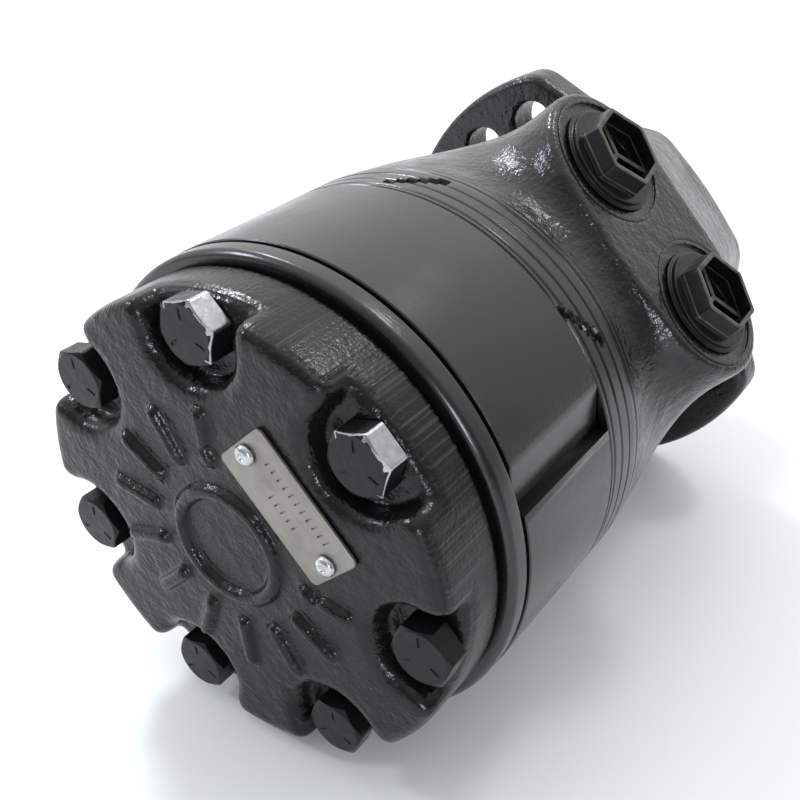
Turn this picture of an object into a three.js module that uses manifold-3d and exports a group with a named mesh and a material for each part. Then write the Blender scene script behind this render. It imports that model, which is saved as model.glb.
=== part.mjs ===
// Low-speed hydraulic motor with a roller stator, lying on its side.
// Millimetres. Y runs along the shaft, from the end cover towards the shaft's free end.
// Inside motorGroup, X is the way the ports face and y = 0 is the cover side of the stator.
// The finished group is rolled about Y and moved, so that it lies on z = 0.
import * as THREE from 'three';
import { mergeVertices } from 'three/addons/utils/BufferGeometryUtils.js';
import Module from 'manifold-3d';

const wasm = await Module();
wasm.setup();

// ---- driving dimensions ----
const ROLL = THREE.MathUtils.degToRad(46);      // roll of the ports away from straight up
const GAP = 0.3;                                // running and assembly gap between pieces
const COUNT = 7;                                // cover bolts, and rollers
const PITCH = (2 * Math.PI) / COUNT;
const FINE = 48;                                // facets round a large diameter
const MEDIUM = 32;                              // facets round a bearing or seal
const COARSE = 12;                              // facets round a bolt or small hole

const BODY_R = 63.5;                            // stator and front of the housing
const COVER_R = 60.4;
const COVER_RELIEF_R = 58.4;                    // turned groove where the cover meets the manifold
const MANIFOLD_FRONT = -6.8;
const COVER_FLOOR = -21.0;                      // floor of the bolt pockets
const COVER_FACE = -28.0;
const STATOR_END = 40;

const BOLT_CIRCLE_R = 53.1;
const BOLT_R = 4.76;                            // 3/8 inch
const BOLT_HOLE_R = 5.4;
const BOLT_HEAD_FLATS = 14.29;                  // 9/16 inch across the flats
const BOLT_HEAD_HEIGHT = 6.1;
const BOLT_END = 72;

const ROLLER_CIRCLE_R = 38.5;
const ROLLER_R = 8.2;
const ECCENTRICITY = 3.9;
const LAND_R = 39.0;                            // stator wall between two rollers

const BORE_R = 30;                              // housing main bore
const WEAR_PLATE_R = 47.4;
const WEAR_PLATE_THICKNESS = 6;

const PORT_Y = 90;
const PORT_HALF_SPACING = 22.2;
const PORT_FACE = 67;                           // height of the port face above the shaft axis
const PORT_R = 10.2;
const BOSS_R = 20.4;
const SPOTFACE_R = 16.9;
const SPOTFACE_DEPTH = 0.8;
const SEAL_SEAT_R = 12.9;
const SEAL_SEAT_FLOOR = PORT_FACE - 2.6;

const SHOULDER_END = 149;                       // the sloped back of the port boss, where it meets the flange
const SHOULDER_END_X = 53.7;

const FLANGE_FRONT = 144;
const FLANGE_BACK = 157;
const PILOT_END = 163;
const PILOT_R = 41.28;                          // 82.55 mm pilot
const EAR_R = 68;
const EAR_CORNER_R = 10;
const EAR_HALF_ANGLE = THREE.MathUtils.degToRad(23.15);  // from an ear's middle to where its corner starts
const FLANGE_WAIST_R = 50;
const FLANGE_HOLE_CIRCLE_R = 53.2;              // 106.4 mm bolt circle
const FLANGE_HOLE_R = 6.8;
const FLANGE_HOLE_STEP = THREE.MathUtils.degToRad(22.5);
const NECK_R = 42.5;

const SHAFT_R = 15.875;                         // 1 1/4 inch
const SHAFT_END = 213;
const KEY_WIDTH = 7.94;                         // 5/16 inch
const KEY_START = 172;
const KEY_END = 208;
const LINK_ROTOR_Y = 20;                        // middle of the link's spline inside the rotor
const LINK_SHAFT_Y = 78;                        // middle of the link's spline inside the shaft
const SPLINE_TEETH = 10;

// ---- shapes and solids ----
const polar = (radius, angle) => new THREE.Vector2(radius * Math.cos(angle), radius * Math.sin(angle));

const arcPoints = (centre, radius, from, to, steps) => {
  const points = [];
  for (let i = 0; i <= steps; i += 1) {
    points.push(polar(radius, from + ((to - from) * i) / steps).add(centre));
  }
  return points;
};

const circlePoints = (centre, radius, steps, start = 0) => {
  const points = arcPoints(centre, radius, start, start + 2 * Math.PI, steps);
  points.pop();
  return points;
};

// Positive when the triangles face outwards.
const signedVolume = (positions, corners) => {
  const [a, b, c] = [new THREE.Vector3(), new THREE.Vector3(), new THREE.Vector3()];
  let total = 0;
  for (let i = 0; i < corners.length; i += 3) {
    a.fromArray(positions, corners[i] * 3);
    b.fromArray(positions, corners[i + 1] * 3);
    c.fromArray(positions, corners[i + 2] * 3);
    total += a.dot(b.cross(c)) / 6;
  }
  return total;
};

const toSolid = (geometry) => {
  const plain = new THREE.BufferGeometry();
  plain.setAttribute('position', geometry.getAttribute('position').clone());
  if (geometry.index) {
    plain.setIndex(geometry.index.clone());
  }
  const merged = mergeVertices(plain, 1e-4);
  const corners = merged.index.array;
  const kept = [];
  for (let i = 0; i < corners.length; i += 3) {
    const [a, b, c] = [corners[i], corners[i + 1], corners[i + 2]];
    if (a !== b && b !== c && c !== a) {
      kept.push(a, b, c);
    }
  }
  const vertProperties = new Float32Array(merged.getAttribute('position').array);
  if (signedVolume(vertProperties, kept) < 0) {
    kept.reverse();
  }
  return new wasm.Manifold(new wasm.Mesh({ numProp: 3, vertProperties, triVerts: new Uint32Array(kept) }));
};

const toGeometry = (solid) => {
  const mesh = solid.getMesh();
  const geometry = new THREE.BufferGeometry();
  geometry.setAttribute('position', new THREE.BufferAttribute(mesh.vertProperties, 3));
  geometry.setIndex(new THREE.BufferAttribute(mesh.triVerts, 1));
  geometry.computeVertexNormals();
  return geometry;
};

// A body turned about Y from [radius, y] pairs. One facet faces straight down once the motor is rolled.
const turned = (pairs, facets) => {
  const points = pairs.map(([radius, y]) => new THREE.Vector2(radius, y));
  if (THREE.ShapeUtils.area(points) < 0) {
    points.reverse();
  }
  if (points.every((point) => point.x > 0)) {
    points.push(points[0].clone());
  }
  const start = Math.PI + ROLL - Math.PI / facets;
  return toSolid(new THREE.LatheGeometry(points, facets, start));
};

const ring = (inner, outer, from, to, facets) =>
  turned([[inner, from], [outer, from], [outer, to], [inner, to]], facets);

// An outline in the X-Z plane, pulled along Y.
const pulledAlongY = (outline, from, to, holes = []) => {
  const shape = new THREE.Shape(outline);
  shape.holes = holes.map((hole) => new THREE.Path(hole));
  const geometry = new THREE.ExtrudeGeometry(shape, { depth: to - from, bevelEnabled: false });
  geometry.rotateX(Math.PI / 2);
  geometry.translate(0, to, 0);
  return toSolid(geometry);
};

// An outline in the Y-Z plane, pulled along X.
const pulledAlongX = (outline, from, to) => {
  const shape = new THREE.Shape(outline);
  const geometry = new THREE.ExtrudeGeometry(shape, { depth: to - from, bevelEnabled: false });
  geometry.applyMatrix4(new THREE.Matrix4().makeBasis(
    new THREE.Vector3(0, 1, 0),
    new THREE.Vector3(0, 0, 1),
    new THREE.Vector3(1, 0, 0),
  ));
  geometry.translate(from, 0, 0);
  return toSolid(geometry);
};

// A closed body through a stack of outlines of equal length, each a list of Vector3.
const lofted = (outlines) => {
  const count = outlines[0].length;
  const positions = outlines.flat().flatMap((point) => point.toArray());
  const index = [];
  for (let level = 0; level + 1 < outlines.length; level += 1) {
    for (let i = 0; i < count; i += 1) {
      const a = level * count + i;
      const b = level * count + ((i + 1) % count);
      index.push(a, b, b + count, a, b + count, a + count);
    }
  }
  const top = (outlines.length - 1) * count;
  for (let i = 1; i + 1 < count; i += 1) {
    index.push(0, i + 1, i);
    index.push(top, top + i, top + i + 1);
  }
  const geometry = new THREE.BufferGeometry();
  geometry.setAttribute('position', new THREE.Float32BufferAttribute(positions, 3));
  geometry.setIndex(index);
  return toSolid(geometry);
};

const stadium = (halfLength, radius, steps) => [
  ...arcPoints(new THREE.Vector2(PORT_Y, halfLength), radius, 0, Math.PI, steps),
  ...arcPoints(new THREE.Vector2(PORT_Y, -halfLength), radius, Math.PI, 2 * Math.PI, steps),
];

const splineOutline = (minor, major, toothShare) => {
  const points = [];
  const step = (2 * Math.PI) / SPLINE_TEETH;
  for (let i = 0; i < SPLINE_TEETH; i += 1) {
    const middle = i * step;
    points.push(polar(minor, middle - step * (toothShare + 0.08)));
    points.push(polar(major, middle - step * toothShare));
    points.push(polar(major, middle + step * toothShare));
    points.push(polar(minor, middle + step * (toothShare + 0.08)));
  }
  return points;
};

const ORIGIN = new THREE.Vector2(0, 0);
const boltCentre = (i) => polar(BOLT_CIRCLE_R, i * PITCH);
const rollerAngle = (i) => (i + 0.5) * PITCH;
const boltHole = (i) => circlePoints(boltCentre(i), BOLT_HOLE_R, COARSE);
const boltHoles = () => Array.from({ length: COUNT }, (_, i) => boltHole(i));

// ---- materials ----
const finish = (color, roughness, metalness) => ({ color, roughness, metalness });
const BLACK_PAINT = finish(0x17181a, 0.35, 0.1);
const BLACK_CASTING = finish(0x1b1c1e, 0.42, 0.1);
const DARK_STEEL = finish(0x3c3d40, 0.38, 0.8);
const BRIGHT_STEEL = finish(0x9a9b9d, 0.28, 0.9);
const PLATE_ALUMINIUM = finish(0xb9b4ad, 0.4, 0.9);
const ZINC = finish(0xc4c8cc, 0.3, 0.9);
const PLASTIC = finish(0x141517, 0.4, 0);
const RUBBER = finish(0x202020, 0.8, 0);

const meshFrom = (name, solid, look) => {
  const mesh = new THREE.Mesh(toGeometry(solid), new THREE.MeshStandardMaterial(look));
  mesh.name = name;
  return mesh;
};

// ---- front of the motor: cover, manifold, stator ----
const pocketOutline = () => {
  const inner = 12;
  const mouth = 16.5;
  const outside = COVER_R + 8;
  const arc = arcPoints(new THREE.Vector2(BOLT_CIRCLE_R, 0), inner, Math.PI / 2, (3 * Math.PI) / 2, 10);
  return [new THREE.Vector2(outside, mouth), ...arc, new THREE.Vector2(outside, -mouth)];
};

const SCREW_X = 28.3;                           // drive screws and the middle of the nameplate
const SCREW_HALF_SPACING = 14.4;
const SCREW_HOLE_R = 1.7;
const BALANCE_RECESS_R = 38;
const BALANCE_RECESS_FLOOR = -15.6;

const endCover = () => {
  let solid = turned([
    [0, MANIFOLD_FRONT - GAP],
    [COVER_RELIEF_R, MANIFOLD_FRONT - GAP],
    [COVER_RELIEF_R, MANIFOLD_FRONT - 2.2],
    [COVER_R, MANIFOLD_FRONT - 2.6],
    [COVER_R, COVER_FACE + 4.5],
    [COVER_R - 1.5, COVER_FACE + 1.5],
    [COVER_R - 4.5, COVER_FACE],
    [0, COVER_FACE],
  ], FINE);
  for (let i = 0; i < COUNT; i += 1) {
    const pocket = pocketOutline().map((point) => point.rotateAround(ORIGIN, i * PITCH));
    solid = solid.subtract(pulledAlongY(pocket, COVER_FACE - 5, COVER_FLOOR));
    solid = solid.subtract(pulledAlongY(boltHole(i), COVER_FLOOR - 1, MANIFOLD_FRONT + 1));
  }
  const recess = [[0, MANIFOLD_FRONT + 1], [BALANCE_RECESS_R, MANIFOLD_FRONT + 1],
    [BALANCE_RECESS_R, BALANCE_RECESS_FLOOR], [0, BALANCE_RECESS_FLOOR]];
  solid = solid.subtract(turned(recess, MEDIUM));
  for (const side of [-1, 1]) {
    const hole = circlePoints(new THREE.Vector2(SCREW_X, side * SCREW_HALF_SPACING), SCREW_HOLE_R, 8);
    solid = solid.subtract(pulledAlongY(hole, COVER_FACE - 1, COVER_FACE + 7));
  }
  return solid;
};

const manifoldPlate = () => {
  let solid = turned([
    [9, MANIFOLD_FRONT],
    [BODY_R - 1.6, MANIFOLD_FRONT],
    [BODY_R - 0.2, MANIFOLD_FRONT + 1.4],
    [BODY_R - 0.2, -1.2],
    [BODY_R - 1, -GAP],
    [9, -GAP],
  ], FINE);
  for (let i = 0; i < COUNT; i += 1) {
    const passage = circlePoints(polar(31, i * PITCH), 3.2, 6);
    solid = solid.subtract(pulledAlongY(boltHole(i), MANIFOLD_FRONT - 1, 1));
    solid = solid.subtract(pulledAlongY(passage, MANIFOLD_FRONT - 1, 1));
  }
  return solid;
};

// Face seals: one in the cover inside the bolts, and one outside the bolts on each side of the stator.
const COVER_SEAL_R = 43;
const STATOR_SEAL_R = 61;
const faceSealGroove = (radius, from, to) => ring(radius - 1.1, radius + 1.1, from, to, FINE);
const faceSeal = (radius, from, to) => ring(radius - 0.45, radius + 0.6, from, to, MEDIUM);
const COVER_SEAL_Y = MANIFOLD_FRONT - GAP;
const coverSealGroove = () => faceSealGroove(COVER_SEAL_R, COVER_SEAL_Y - 1.6, COVER_SEAL_Y + 1);
const manifoldSealGroove = () => faceSealGroove(STATOR_SEAL_R, -GAP - 1.6, 1);
const housingSealGroove = () => faceSealGroove(STATOR_SEAL_R, STATOR_END - 1, STATOR_END + GAP + 1.6);

// The milled flat on the stator's outside runs from one angle, flush, to the other, where it ends in a step.
const FLAT_START = THREE.MathUtils.degToRad(-18);
const FLAT_END = THREE.MathUtils.degToRad(-28.5);
const FLAT_DEPTH = 3.2;

const statorOutline = () => {
  const start = (3 * Math.PI) / 2 - ROLL + Math.PI / FINE;
  const circle = circlePoints(ORIGIN, BODY_R, FINE, start);
  const clear = circle.filter((point) => point.angle() < 2 * Math.PI + FLAT_END - 0.01
    || point.angle() > 2 * Math.PI + FLAT_START + 0.01);
  const foot = polar(BODY_R - FLAT_DEPTH, FLAT_END + 0.012);
  const flat = [polar(BODY_R, FLAT_END), foot, polar(BODY_R, FLAT_START)];
  return [...clear, ...flat].sort((a, b) => {
    const order = (point) => (point.angle() - start + 4 * Math.PI) % (2 * Math.PI);
    return order(a) - order(b);
  });
};

const statorOpening = () => {
  const pocketR = ROLLER_R + GAP;
  const cosine = (LAND_R ** 2 + ROLLER_CIRCLE_R ** 2 - pocketR ** 2) / (2 * LAND_R * ROLLER_CIRCLE_R);
  const spread = Math.acos(cosine);
  const edge = polar(LAND_R, spread).sub(new THREE.Vector2(ROLLER_CIRCLE_R, 0)).angle();
  const points = [];
  for (let i = 0; i < COUNT; i += 1) {
    const angle = rollerAngle(i);
    points.push(...arcPoints(polar(ROLLER_CIRCLE_R, angle), pocketR, angle - edge, angle + edge, 10));
    const land = arcPoints(ORIGIN, LAND_R, angle + spread, angle + PITCH - spread, 3);
    points.push(...land.slice(1, -1));
  }
  return points;
};

const stator = () => pulledAlongY(statorOutline(), 0, STATOR_END, [statorOpening(), ...boltHoles()]);

const coverBolt = () => {
  const flats = Array.from({ length: 6 }, (_, i) => polar(BOLT_HEAD_FLATS / Math.sqrt(3), (i * Math.PI) / 3));
  const head = pulledAlongY(flats, COVER_FLOOR - GAP - BOLT_HEAD_HEIGHT, COVER_FLOOR - GAP);
  const chamfer = turned([
    [0, COVER_FLOOR - GAP - BOLT_HEAD_HEIGHT - 0.01],
    [BOLT_HEAD_FLATS * 0.49, COVER_FLOOR - GAP - BOLT_HEAD_HEIGHT - 0.01],
    [BOLT_HEAD_FLATS * 0.6, COVER_FLOOR - GAP - BOLT_HEAD_HEIGHT + 1],
    [BOLT_HEAD_FLATS * 0.6, COVER_FLOOR],
    [0, COVER_FLOOR],
  ], 12);
  const shank = turned([
    [0, COVER_FLOOR - GAP - 1],
    [BOLT_R, COVER_FLOOR - GAP - 1],
    [BOLT_R, BOLT_END - 1.5],
    [BOLT_R - 1.5, BOLT_END],
    [0, BOLT_END],
  ], 10);
  return head.intersect(chamfer).add(shank);
};

// ---- nameplate ----
const PLATE_LENGTH = 35;
const PLATE_WIDTH = 17;
const PLATE_THICKNESS = 0.8;
const PLATE_BACK = COVER_FACE - GAP;

const roundedRectangle = (centre, width, length, radius) => {
  const points = [];
  const signs = [[1, 1], [-1, 1], [-1, -1], [1, -1]];
  signs.forEach(([sx, sy], i) => {
    const corner = new THREE.Vector2(
      centre.x + sx * (width / 2 - radius),
      centre.y + sy * (length / 2 - radius),
    );
    points.push(...arcPoints(corner, radius, (i * Math.PI) / 2, ((i + 1) * Math.PI) / 2, 4));
  });
  return points;
};

const nameplate = () => {
  const outline = roundedRectangle(new THREE.Vector2(SCREW_X, 0), PLATE_WIDTH, PLATE_LENGTH, 1.6);
  const holes = [-1, 1].map((side) =>
    circlePoints(new THREE.Vector2(SCREW_X, side * SCREW_HALF_SPACING), SCREW_HOLE_R, 8));
  return pulledAlongY(outline, PLATE_BACK - PLATE_THICKNESS, PLATE_BACK, holes);
};

const driveScrew = () => {
  const under = PLATE_BACK - PLATE_THICKNESS - GAP;
  return turned([
    [0, under - 1.5],
    [1.6, under - 1.3],
    [2.6, under - 0.4],
    [2.6, under],
    [1.2, under],
    [1.2, COVER_FACE + 5.5],
    [0, COVER_FACE + 6.5],
  ], 12);
};

// ---- rotor set ----
const ROTOR_SPLINE_MINOR = 14.2;
const ROTOR_SPLINE_MAJOR = 16.4;

// Six-lobed rotor that touches all the rollers: an epitrochoid offset inwards by the roller radius.
// The points are closer together in the valleys, where the outline turns fastest.
const rotorOutline = () => {
  const rollerR = ROLLER_R + 0.25;
  const ratio = ROLLER_CIRCLE_R / (ECCENTRICITY * COUNT);
  const steps = 96;
  return Array.from({ length: steps }, (_, i) => {
    const even = (-i * 2 * Math.PI) / steps;
    const turn = even - (0.85 / (COUNT - 1)) * Math.sin((COUNT - 1) * even);
    const lean = Math.atan(Math.sin((1 - COUNT) * turn) / (ratio - Math.cos((1 - COUNT) * turn)));
    const point = polar(ROLLER_CIRCLE_R, -turn);
    point.sub(polar(rollerR, -turn - lean));
    return point.sub(polar(ECCENTRICITY, -COUNT * turn));
  });
};

const rotor = () => {
  const spline = splineOutline(ROTOR_SPLINE_MINOR, ROTOR_SPLINE_MAJOR, 0.28);
  return pulledAlongY(rotorOutline(), GAP, STATOR_END - GAP, [spline.reverse()]);
};

const roller = () => turned([
  [0, GAP],
  [ROLLER_R - 0.6, GAP],
  [ROLLER_R, GAP + 0.6],
  [ROLLER_R, STATOR_END - GAP - 0.6],
  [ROLLER_R - 0.6, STATOR_END - GAP],
  [0, STATOR_END - GAP],
], 20);

const driveSpacer = () => turned([[0, 1], [12.6, 1], [13.2, 1.6], [13.2, 6.2], [0, 6.2]], 20);

// Link between the rotor and the shaft, built straight along Y with its middle at y = 0.
const driveLink = () => {
  const half = (LINK_SHAFT_Y - LINK_ROTOR_Y) / 2;
  const headHalf = 9;
  const headOutline = splineOutline(ROTOR_SPLINE_MINOR - 2.6, ROTOR_SPLINE_MAJOR - 1.6, 0.19);
  const waist = turned([
    [0, -half - headHalf],
    [10, -half - headHalf],
    [11.2, -half],
    [9.4, -half + 12],
    [9.4, half - 12],
    [11.2, half],
    [10, half + headHalf],
    [0, half + headHalf],
  ], 16);
  const barrel = (middle) => turned([
    [0, middle - headHalf],
    [13.4, middle - headHalf],
    [14.9, middle - 3],
    [14.9, middle + 3],
    [13.4, middle + headHalf],
    [0, middle + headHalf],
  ], 20);
  const head = (middle) =>
    pulledAlongY(headOutline, middle - headHalf, middle + headHalf).intersect(barrel(middle));
  return waist.add(head(-half)).add(head(half));
};

// ---- housing ----
const flangeOutline = () => {
  const points = [];
  const cornerOut = EAR_R - EAR_CORNER_R;
  const tangent = EAR_HALF_ANGLE + Math.acos((FLANGE_WAIST_R - EAR_CORNER_R) / cornerOut);
  for (const turn of [Math.PI / 2, (3 * Math.PI) / 2]) {
    const first = turn - EAR_HALF_ANGLE;
    const last = turn + EAR_HALF_ANGLE;
    points.push(...arcPoints(polar(cornerOut, first), EAR_CORNER_R, turn - tangent, first, 5));
    points.push(...arcPoints(ORIGIN, EAR_R, first, last, 10).slice(1, -1));
    points.push(...arcPoints(polar(cornerOut, last), EAR_CORNER_R, last, turn + tangent, 5));
    points.push(...arcPoints(ORIGIN, FLANGE_WAIST_R, turn + tangent, turn + Math.PI - tangent, 6));
  }
  return points;
};

const flangeHoleCentres = () => {
  const centres = [];
  for (const turn of [Math.PI / 2, (3 * Math.PI) / 2]) {
    for (const step of [-1, 0, 1]) {
      centres.push(polar(FLANGE_HOLE_CIRCLE_R, turn + step * FLANGE_HOLE_STEP));
    }
  }
  return centres;
};

const portBoss = () => {
  const level = (x, spread) =>
    stadium(PORT_HALF_SPACING, BOSS_R + spread, 10).map((point) => new THREE.Vector3(x, point.x, point.y));
  return lofted([level(22, 2), level(58, 1.6), level(PORT_FACE - 1.2, 0), level(PORT_FACE, -1.2)]);
};

const portShoulder = () => {
  const foot = 22;
  const side = [[84, foot], [84, PORT_FACE - 0.6], [109, PORT_FACE - 0.6],
    [SHOULDER_END, SHOULDER_END_X], [SHOULDER_END, foot]];
  const outline = (z, drop) => side.map(([y, x]) => new THREE.Vector3(Math.max(foot, x - drop), y, z));
  return lofted([outline(26, 12), outline(19, 0), outline(-19, 0), outline(-26, 12)]);
};

const housingBody = () => turned([
  [0, STATOR_END + GAP],
  [BODY_R, STATOR_END + GAP],
  [BODY_R, 53],
  [62.7, 60],
  [61.6, 70],
  [60.0, 80],
  [57.6, 90],
  [53.6, 99],
  [48.0, 107],
  [NECK_R + 1, 114],
  [NECK_R, 120],
  [NECK_R, 138],
  [NECK_R + 3, FLANGE_FRONT + 1],
  [PILOT_R, FLANGE_FRONT + 1],
  [PILOT_R, PILOT_END - 1],
  [PILOT_R - 1, PILOT_END],
  [0, PILOT_END],
], FINE);

const housingBore = () => turned([
  [0, STATOR_END - 2],
  [WEAR_PLATE_R + GAP, STATOR_END - 2],
  [WEAR_PLATE_R + GAP, STATOR_END + WEAR_PLATE_THICKNESS + 2 * GAP],
  [BORE_R, STATOR_END + WEAR_PLATE_THICKNESS + 2 * GAP],
  [BORE_R, 112],
  [27, 112],
  [27, 149],
  [24, 149],
  [24, PILOT_END + 2],
  [0, PILOT_END + 2],
], MEDIUM);

const housing = () => {
  let solid = housingBody().add(portBoss()).add(portShoulder());
  solid = solid.add(pulledAlongY(flangeOutline(), FLANGE_FRONT, FLANGE_BACK));
  solid = solid.subtract(housingBore());
  for (let i = 0; i < COUNT; i += 1) {
    solid = solid.subtract(pulledAlongY(boltHole(i), STATOR_END - 1, BOLT_END + 3));
  }
  for (const centre of flangeHoleCentres()) {
    const hole = circlePoints(centre, FLANGE_HOLE_R, COARSE);
    solid = solid.subtract(pulledAlongY(hole, FLANGE_FRONT - 1, FLANGE_BACK + 1));
  }
  for (const side of [-1, 1]) {
    const centre = new THREE.Vector2(PORT_Y, side * PORT_HALF_SPACING);
    solid = solid.subtract(pulledAlongX(circlePoints(centre, PORT_R, 16), 48, PORT_FACE + 2));
    solid = solid.subtract(pulledAlongX(circlePoints(centre, 7, 10), 15, 50));
    const seat = circlePoints(centre, SEAL_SEAT_R, 16);
    const spotface = circlePoints(centre, SPOTFACE_R, 24);
    solid = solid.subtract(pulledAlongX(seat, SEAL_SEAT_FLOOR, PORT_FACE + 1));
    solid = solid.subtract(pulledAlongX(spotface, PORT_FACE - SPOTFACE_DEPTH, PORT_FACE + 1));
  }
  return solid;
};

// ---- port plugs ----
const PLUG_COLLAR_R = 14.6;
const PLUG_STEP_R = 13.6;
const PLUG_STEP = 1.4;                          // top of the collar's step above the port face
const PLUG_TOP = 6.5;                           // top of the hexagonal rim above the port face
const PLUG_RIB_TOP = 2.5;
const PLUG_FOOT_FLATS = 20.8;                   // the hexagon tapers from its foot to its rim
const PLUG_RIM_FLATS = 19.2;
const PLUG_WALL = 1.3;
const PLUG_SPIGOT_R = PORT_R - 0.6;
const PLUG_SPIGOT_DEPTH = 12;
const PLUG_WELL_R = 7.6;
const PLUG_WELL_DEPTH = 9;
const PLUG_SPINS = [3, 12].map(THREE.MathUtils.degToRad);

const hexagon = (flats, x, spin) => Array.from({ length: 6 }, (_, i) => {
  const corner = polar(flats / Math.sqrt(3), (i * Math.PI) / 3 + spin);
  return new THREE.Vector3(x, corner.x, corner.y);
});

const plugRib = (length, from, to, angle) => {
  const half = 0.7;
  const arm = [[0, -half], [length, -half], [length, half], [0, half]]
    .map(([y, z]) => new THREE.Vector2(y, z).rotateAround(ORIGIN, angle));
  return pulledAlongX(arm, from, to);
};

const portPlug = (spin) => {
  const base = PORT_FACE - SPOTFACE_DEPTH + GAP;
  const step = PORT_FACE + PLUG_STEP;
  const top = PORT_FACE + PLUG_TOP;
  const wall = 2 * PLUG_WALL;
  let solid = pulledAlongX(circlePoints(ORIGIN, PLUG_COLLAR_R, 24), base, PORT_FACE);
  solid = solid.add(pulledAlongX(circlePoints(ORIGIN, PLUG_STEP_R, 24), base + 0.1, step));
  const spigot = circlePoints(ORIGIN, PLUG_SPIGOT_R, 16);
  solid = solid.add(pulledAlongX(spigot, base - PLUG_SPIGOT_DEPTH, base + 0.1));
  solid = solid.add(lofted([hexagon(PLUG_FOOT_FLATS, step - 0.1, spin), hexagon(PLUG_RIM_FLATS, top, spin)]));
  solid = solid.subtract(lofted([
    hexagon(PLUG_FOOT_FLATS - wall, PORT_FACE + 0.6, spin),
    hexagon(PLUG_RIM_FLATS - wall, top + 0.1, spin),
  ]));
  solid = solid.subtract(pulledAlongX(circlePoints(ORIGIN, PLUG_WELL_R, 16), base - PLUG_WELL_DEPTH, step));
  for (let i = 0; i < 3; i += 1) {
    const angle = spin + Math.PI / 3 + (i * 2 * Math.PI) / 3;
    const ribTop = PORT_FACE + PLUG_RIB_TOP;
    solid = solid.add(plugRib(PLUG_FOOT_FLATS / Math.sqrt(3) - PLUG_WALL, PORT_FACE + 0.2, ribTop, angle));
    solid = solid.add(plugRib(PLUG_WELL_R + 0.6, base - PLUG_WELL_DEPTH - 0.5, PORT_FACE + 0.4, angle));
  }
  return solid;
};

const plugSeal = () => {
  const inner = circlePoints(ORIGIN, PORT_R + 0.2, 16);
  const outer = circlePoints(ORIGIN, 12.4, 16);
  const disc = pulledAlongX(outer, SEAL_SEAT_FLOOR + GAP, PORT_FACE - SPOTFACE_DEPTH);
  return disc.subtract(pulledAlongX(inner, SEAL_SEAT_FLOOR, PORT_FACE));
};

// ---- output shaft ----
const outputShaft = () => {
  let solid = turned([
    [0, 50],
    [23, 50],
    [24, 51],
    [24, 108],
    [19.5, 108],
    [19.5, 149],
    [17.5, 150],
    [17.5, 160],
    [SHAFT_R, 162],
    [SHAFT_R, SHAFT_END - 1.6],
    [SHAFT_R - 1.6, SHAFT_END],
    [0, SHAFT_END],
  ], MEDIUM);
  const socket = splineOutline(ROTOR_SPLINE_MINOR, ROTOR_SPLINE_MAJOR, 0.28);
  solid = solid.subtract(pulledAlongY(socket, 49, 90));
  const keyway = [[SHAFT_R - 4, -KEY_WIDTH / 2 - GAP], [SHAFT_R + 4, -KEY_WIDTH / 2 - GAP],
    [SHAFT_R + 4, KEY_WIDTH / 2 + GAP], [SHAFT_R - 4, KEY_WIDTH / 2 + GAP]];
  const keywayOutline = keyway.map(([x, z]) => new THREE.Vector2(x, z));
  return solid.subtract(pulledAlongY(keywayOutline, KEY_START - GAP, KEY_END + GAP));
};

const shaftKey = () => {
  const half = KEY_WIDTH / 2;
  const bottom = SHAFT_R - 3.7;
  const top = SHAFT_R + 3.6;
  const section = [[bottom, -half], [top, -half], [top, half], [bottom, half]];
  return pulledAlongY(section.map(([x, z]) => new THREE.Vector2(x, z)), KEY_START, KEY_END);
};

// ---- bearings and seals ----
const shaftSeal = () => turned([
  [17.9, 150.4],
  [23.7, 150.4],
  [23.7, 156],
  [20.4, 156],
  [20.4, 152.4],
  [17.9, 152.0],
], MEDIUM);

const dustSeal = () => turned([
  [16.4, 162.4],
  [17.9, 160.4],
  [23.7, 158],
  [23.7, 163],
  [16.4, 163.6],
], MEDIUM);

// ---- assembly ----
const motorGroup = new THREE.Group();

const place = (parent, name, solid, look, position = [0, 0, 0], spin = 0) => {
  const mesh = meshFrom(name, solid, look);
  mesh.position.set(...position);
  mesh.rotation.y = spin;
  parent.add(mesh);
  return mesh;
};

place(motorGroup, 'end_cover', endCover().subtract(coverSealGroove()), BLACK_CASTING);
place(motorGroup, 'manifold_plate', manifoldPlate().subtract(manifoldSealGroove()), BLACK_PAINT);
place(motorGroup, 'stator', stator(), BLACK_PAINT);
place(motorGroup, 'housing', housing().subtract(housingSealGroove()), BLACK_CASTING);
place(motorGroup, 'cover_seal', faceSeal(COVER_SEAL_R, COVER_SEAL_Y - 1.3, COVER_SEAL_Y - 0.05), RUBBER);
place(motorGroup, 'manifold_seal', faceSeal(STATOR_SEAL_R, -GAP - 1.3, -GAP - 0.05), RUBBER);
place(motorGroup, 'housing_seal', faceSeal(STATOR_SEAL_R, STATOR_END + GAP, STATOR_END + GAP + 1.3), RUBBER);

const balanceFrom = BALANCE_RECESS_FLOOR + GAP;
const balancePlate = ring(6, BALANCE_RECESS_R - GAP, balanceFrom, MANIFOLD_FRONT - GAP, MEDIUM);
place(motorGroup, 'balance_plate', balancePlate, BRIGHT_STEEL);
const wearPlateFrom = STATOR_END + GAP;
const wearPlate = ring(26, WEAR_PLATE_R, wearPlateFrom, wearPlateFrom + WEAR_PLATE_THICKNESS, MEDIUM);
place(motorGroup, 'wear_plate', wearPlate, BRIGHT_STEEL);

for (let i = 0; i < COUNT; i += 1) {
  const at = boltCentre(i);
  place(motorGroup, `cover_bolt_${i + 1}`, coverBolt(), DARK_STEEL, [at.x, 0, at.y], 0.4 + i * 1.3);
}

place(motorGroup, 'nameplate', nameplate(), PLATE_ALUMINIUM);
for (const side of [-1, 1]) {
  const name = side < 0 ? 'drive_screw_1' : 'drive_screw_2';
  place(motorGroup, name, driveScrew(), ZINC, [SCREW_X, 0, side * SCREW_HALF_SPACING]);
}

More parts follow.
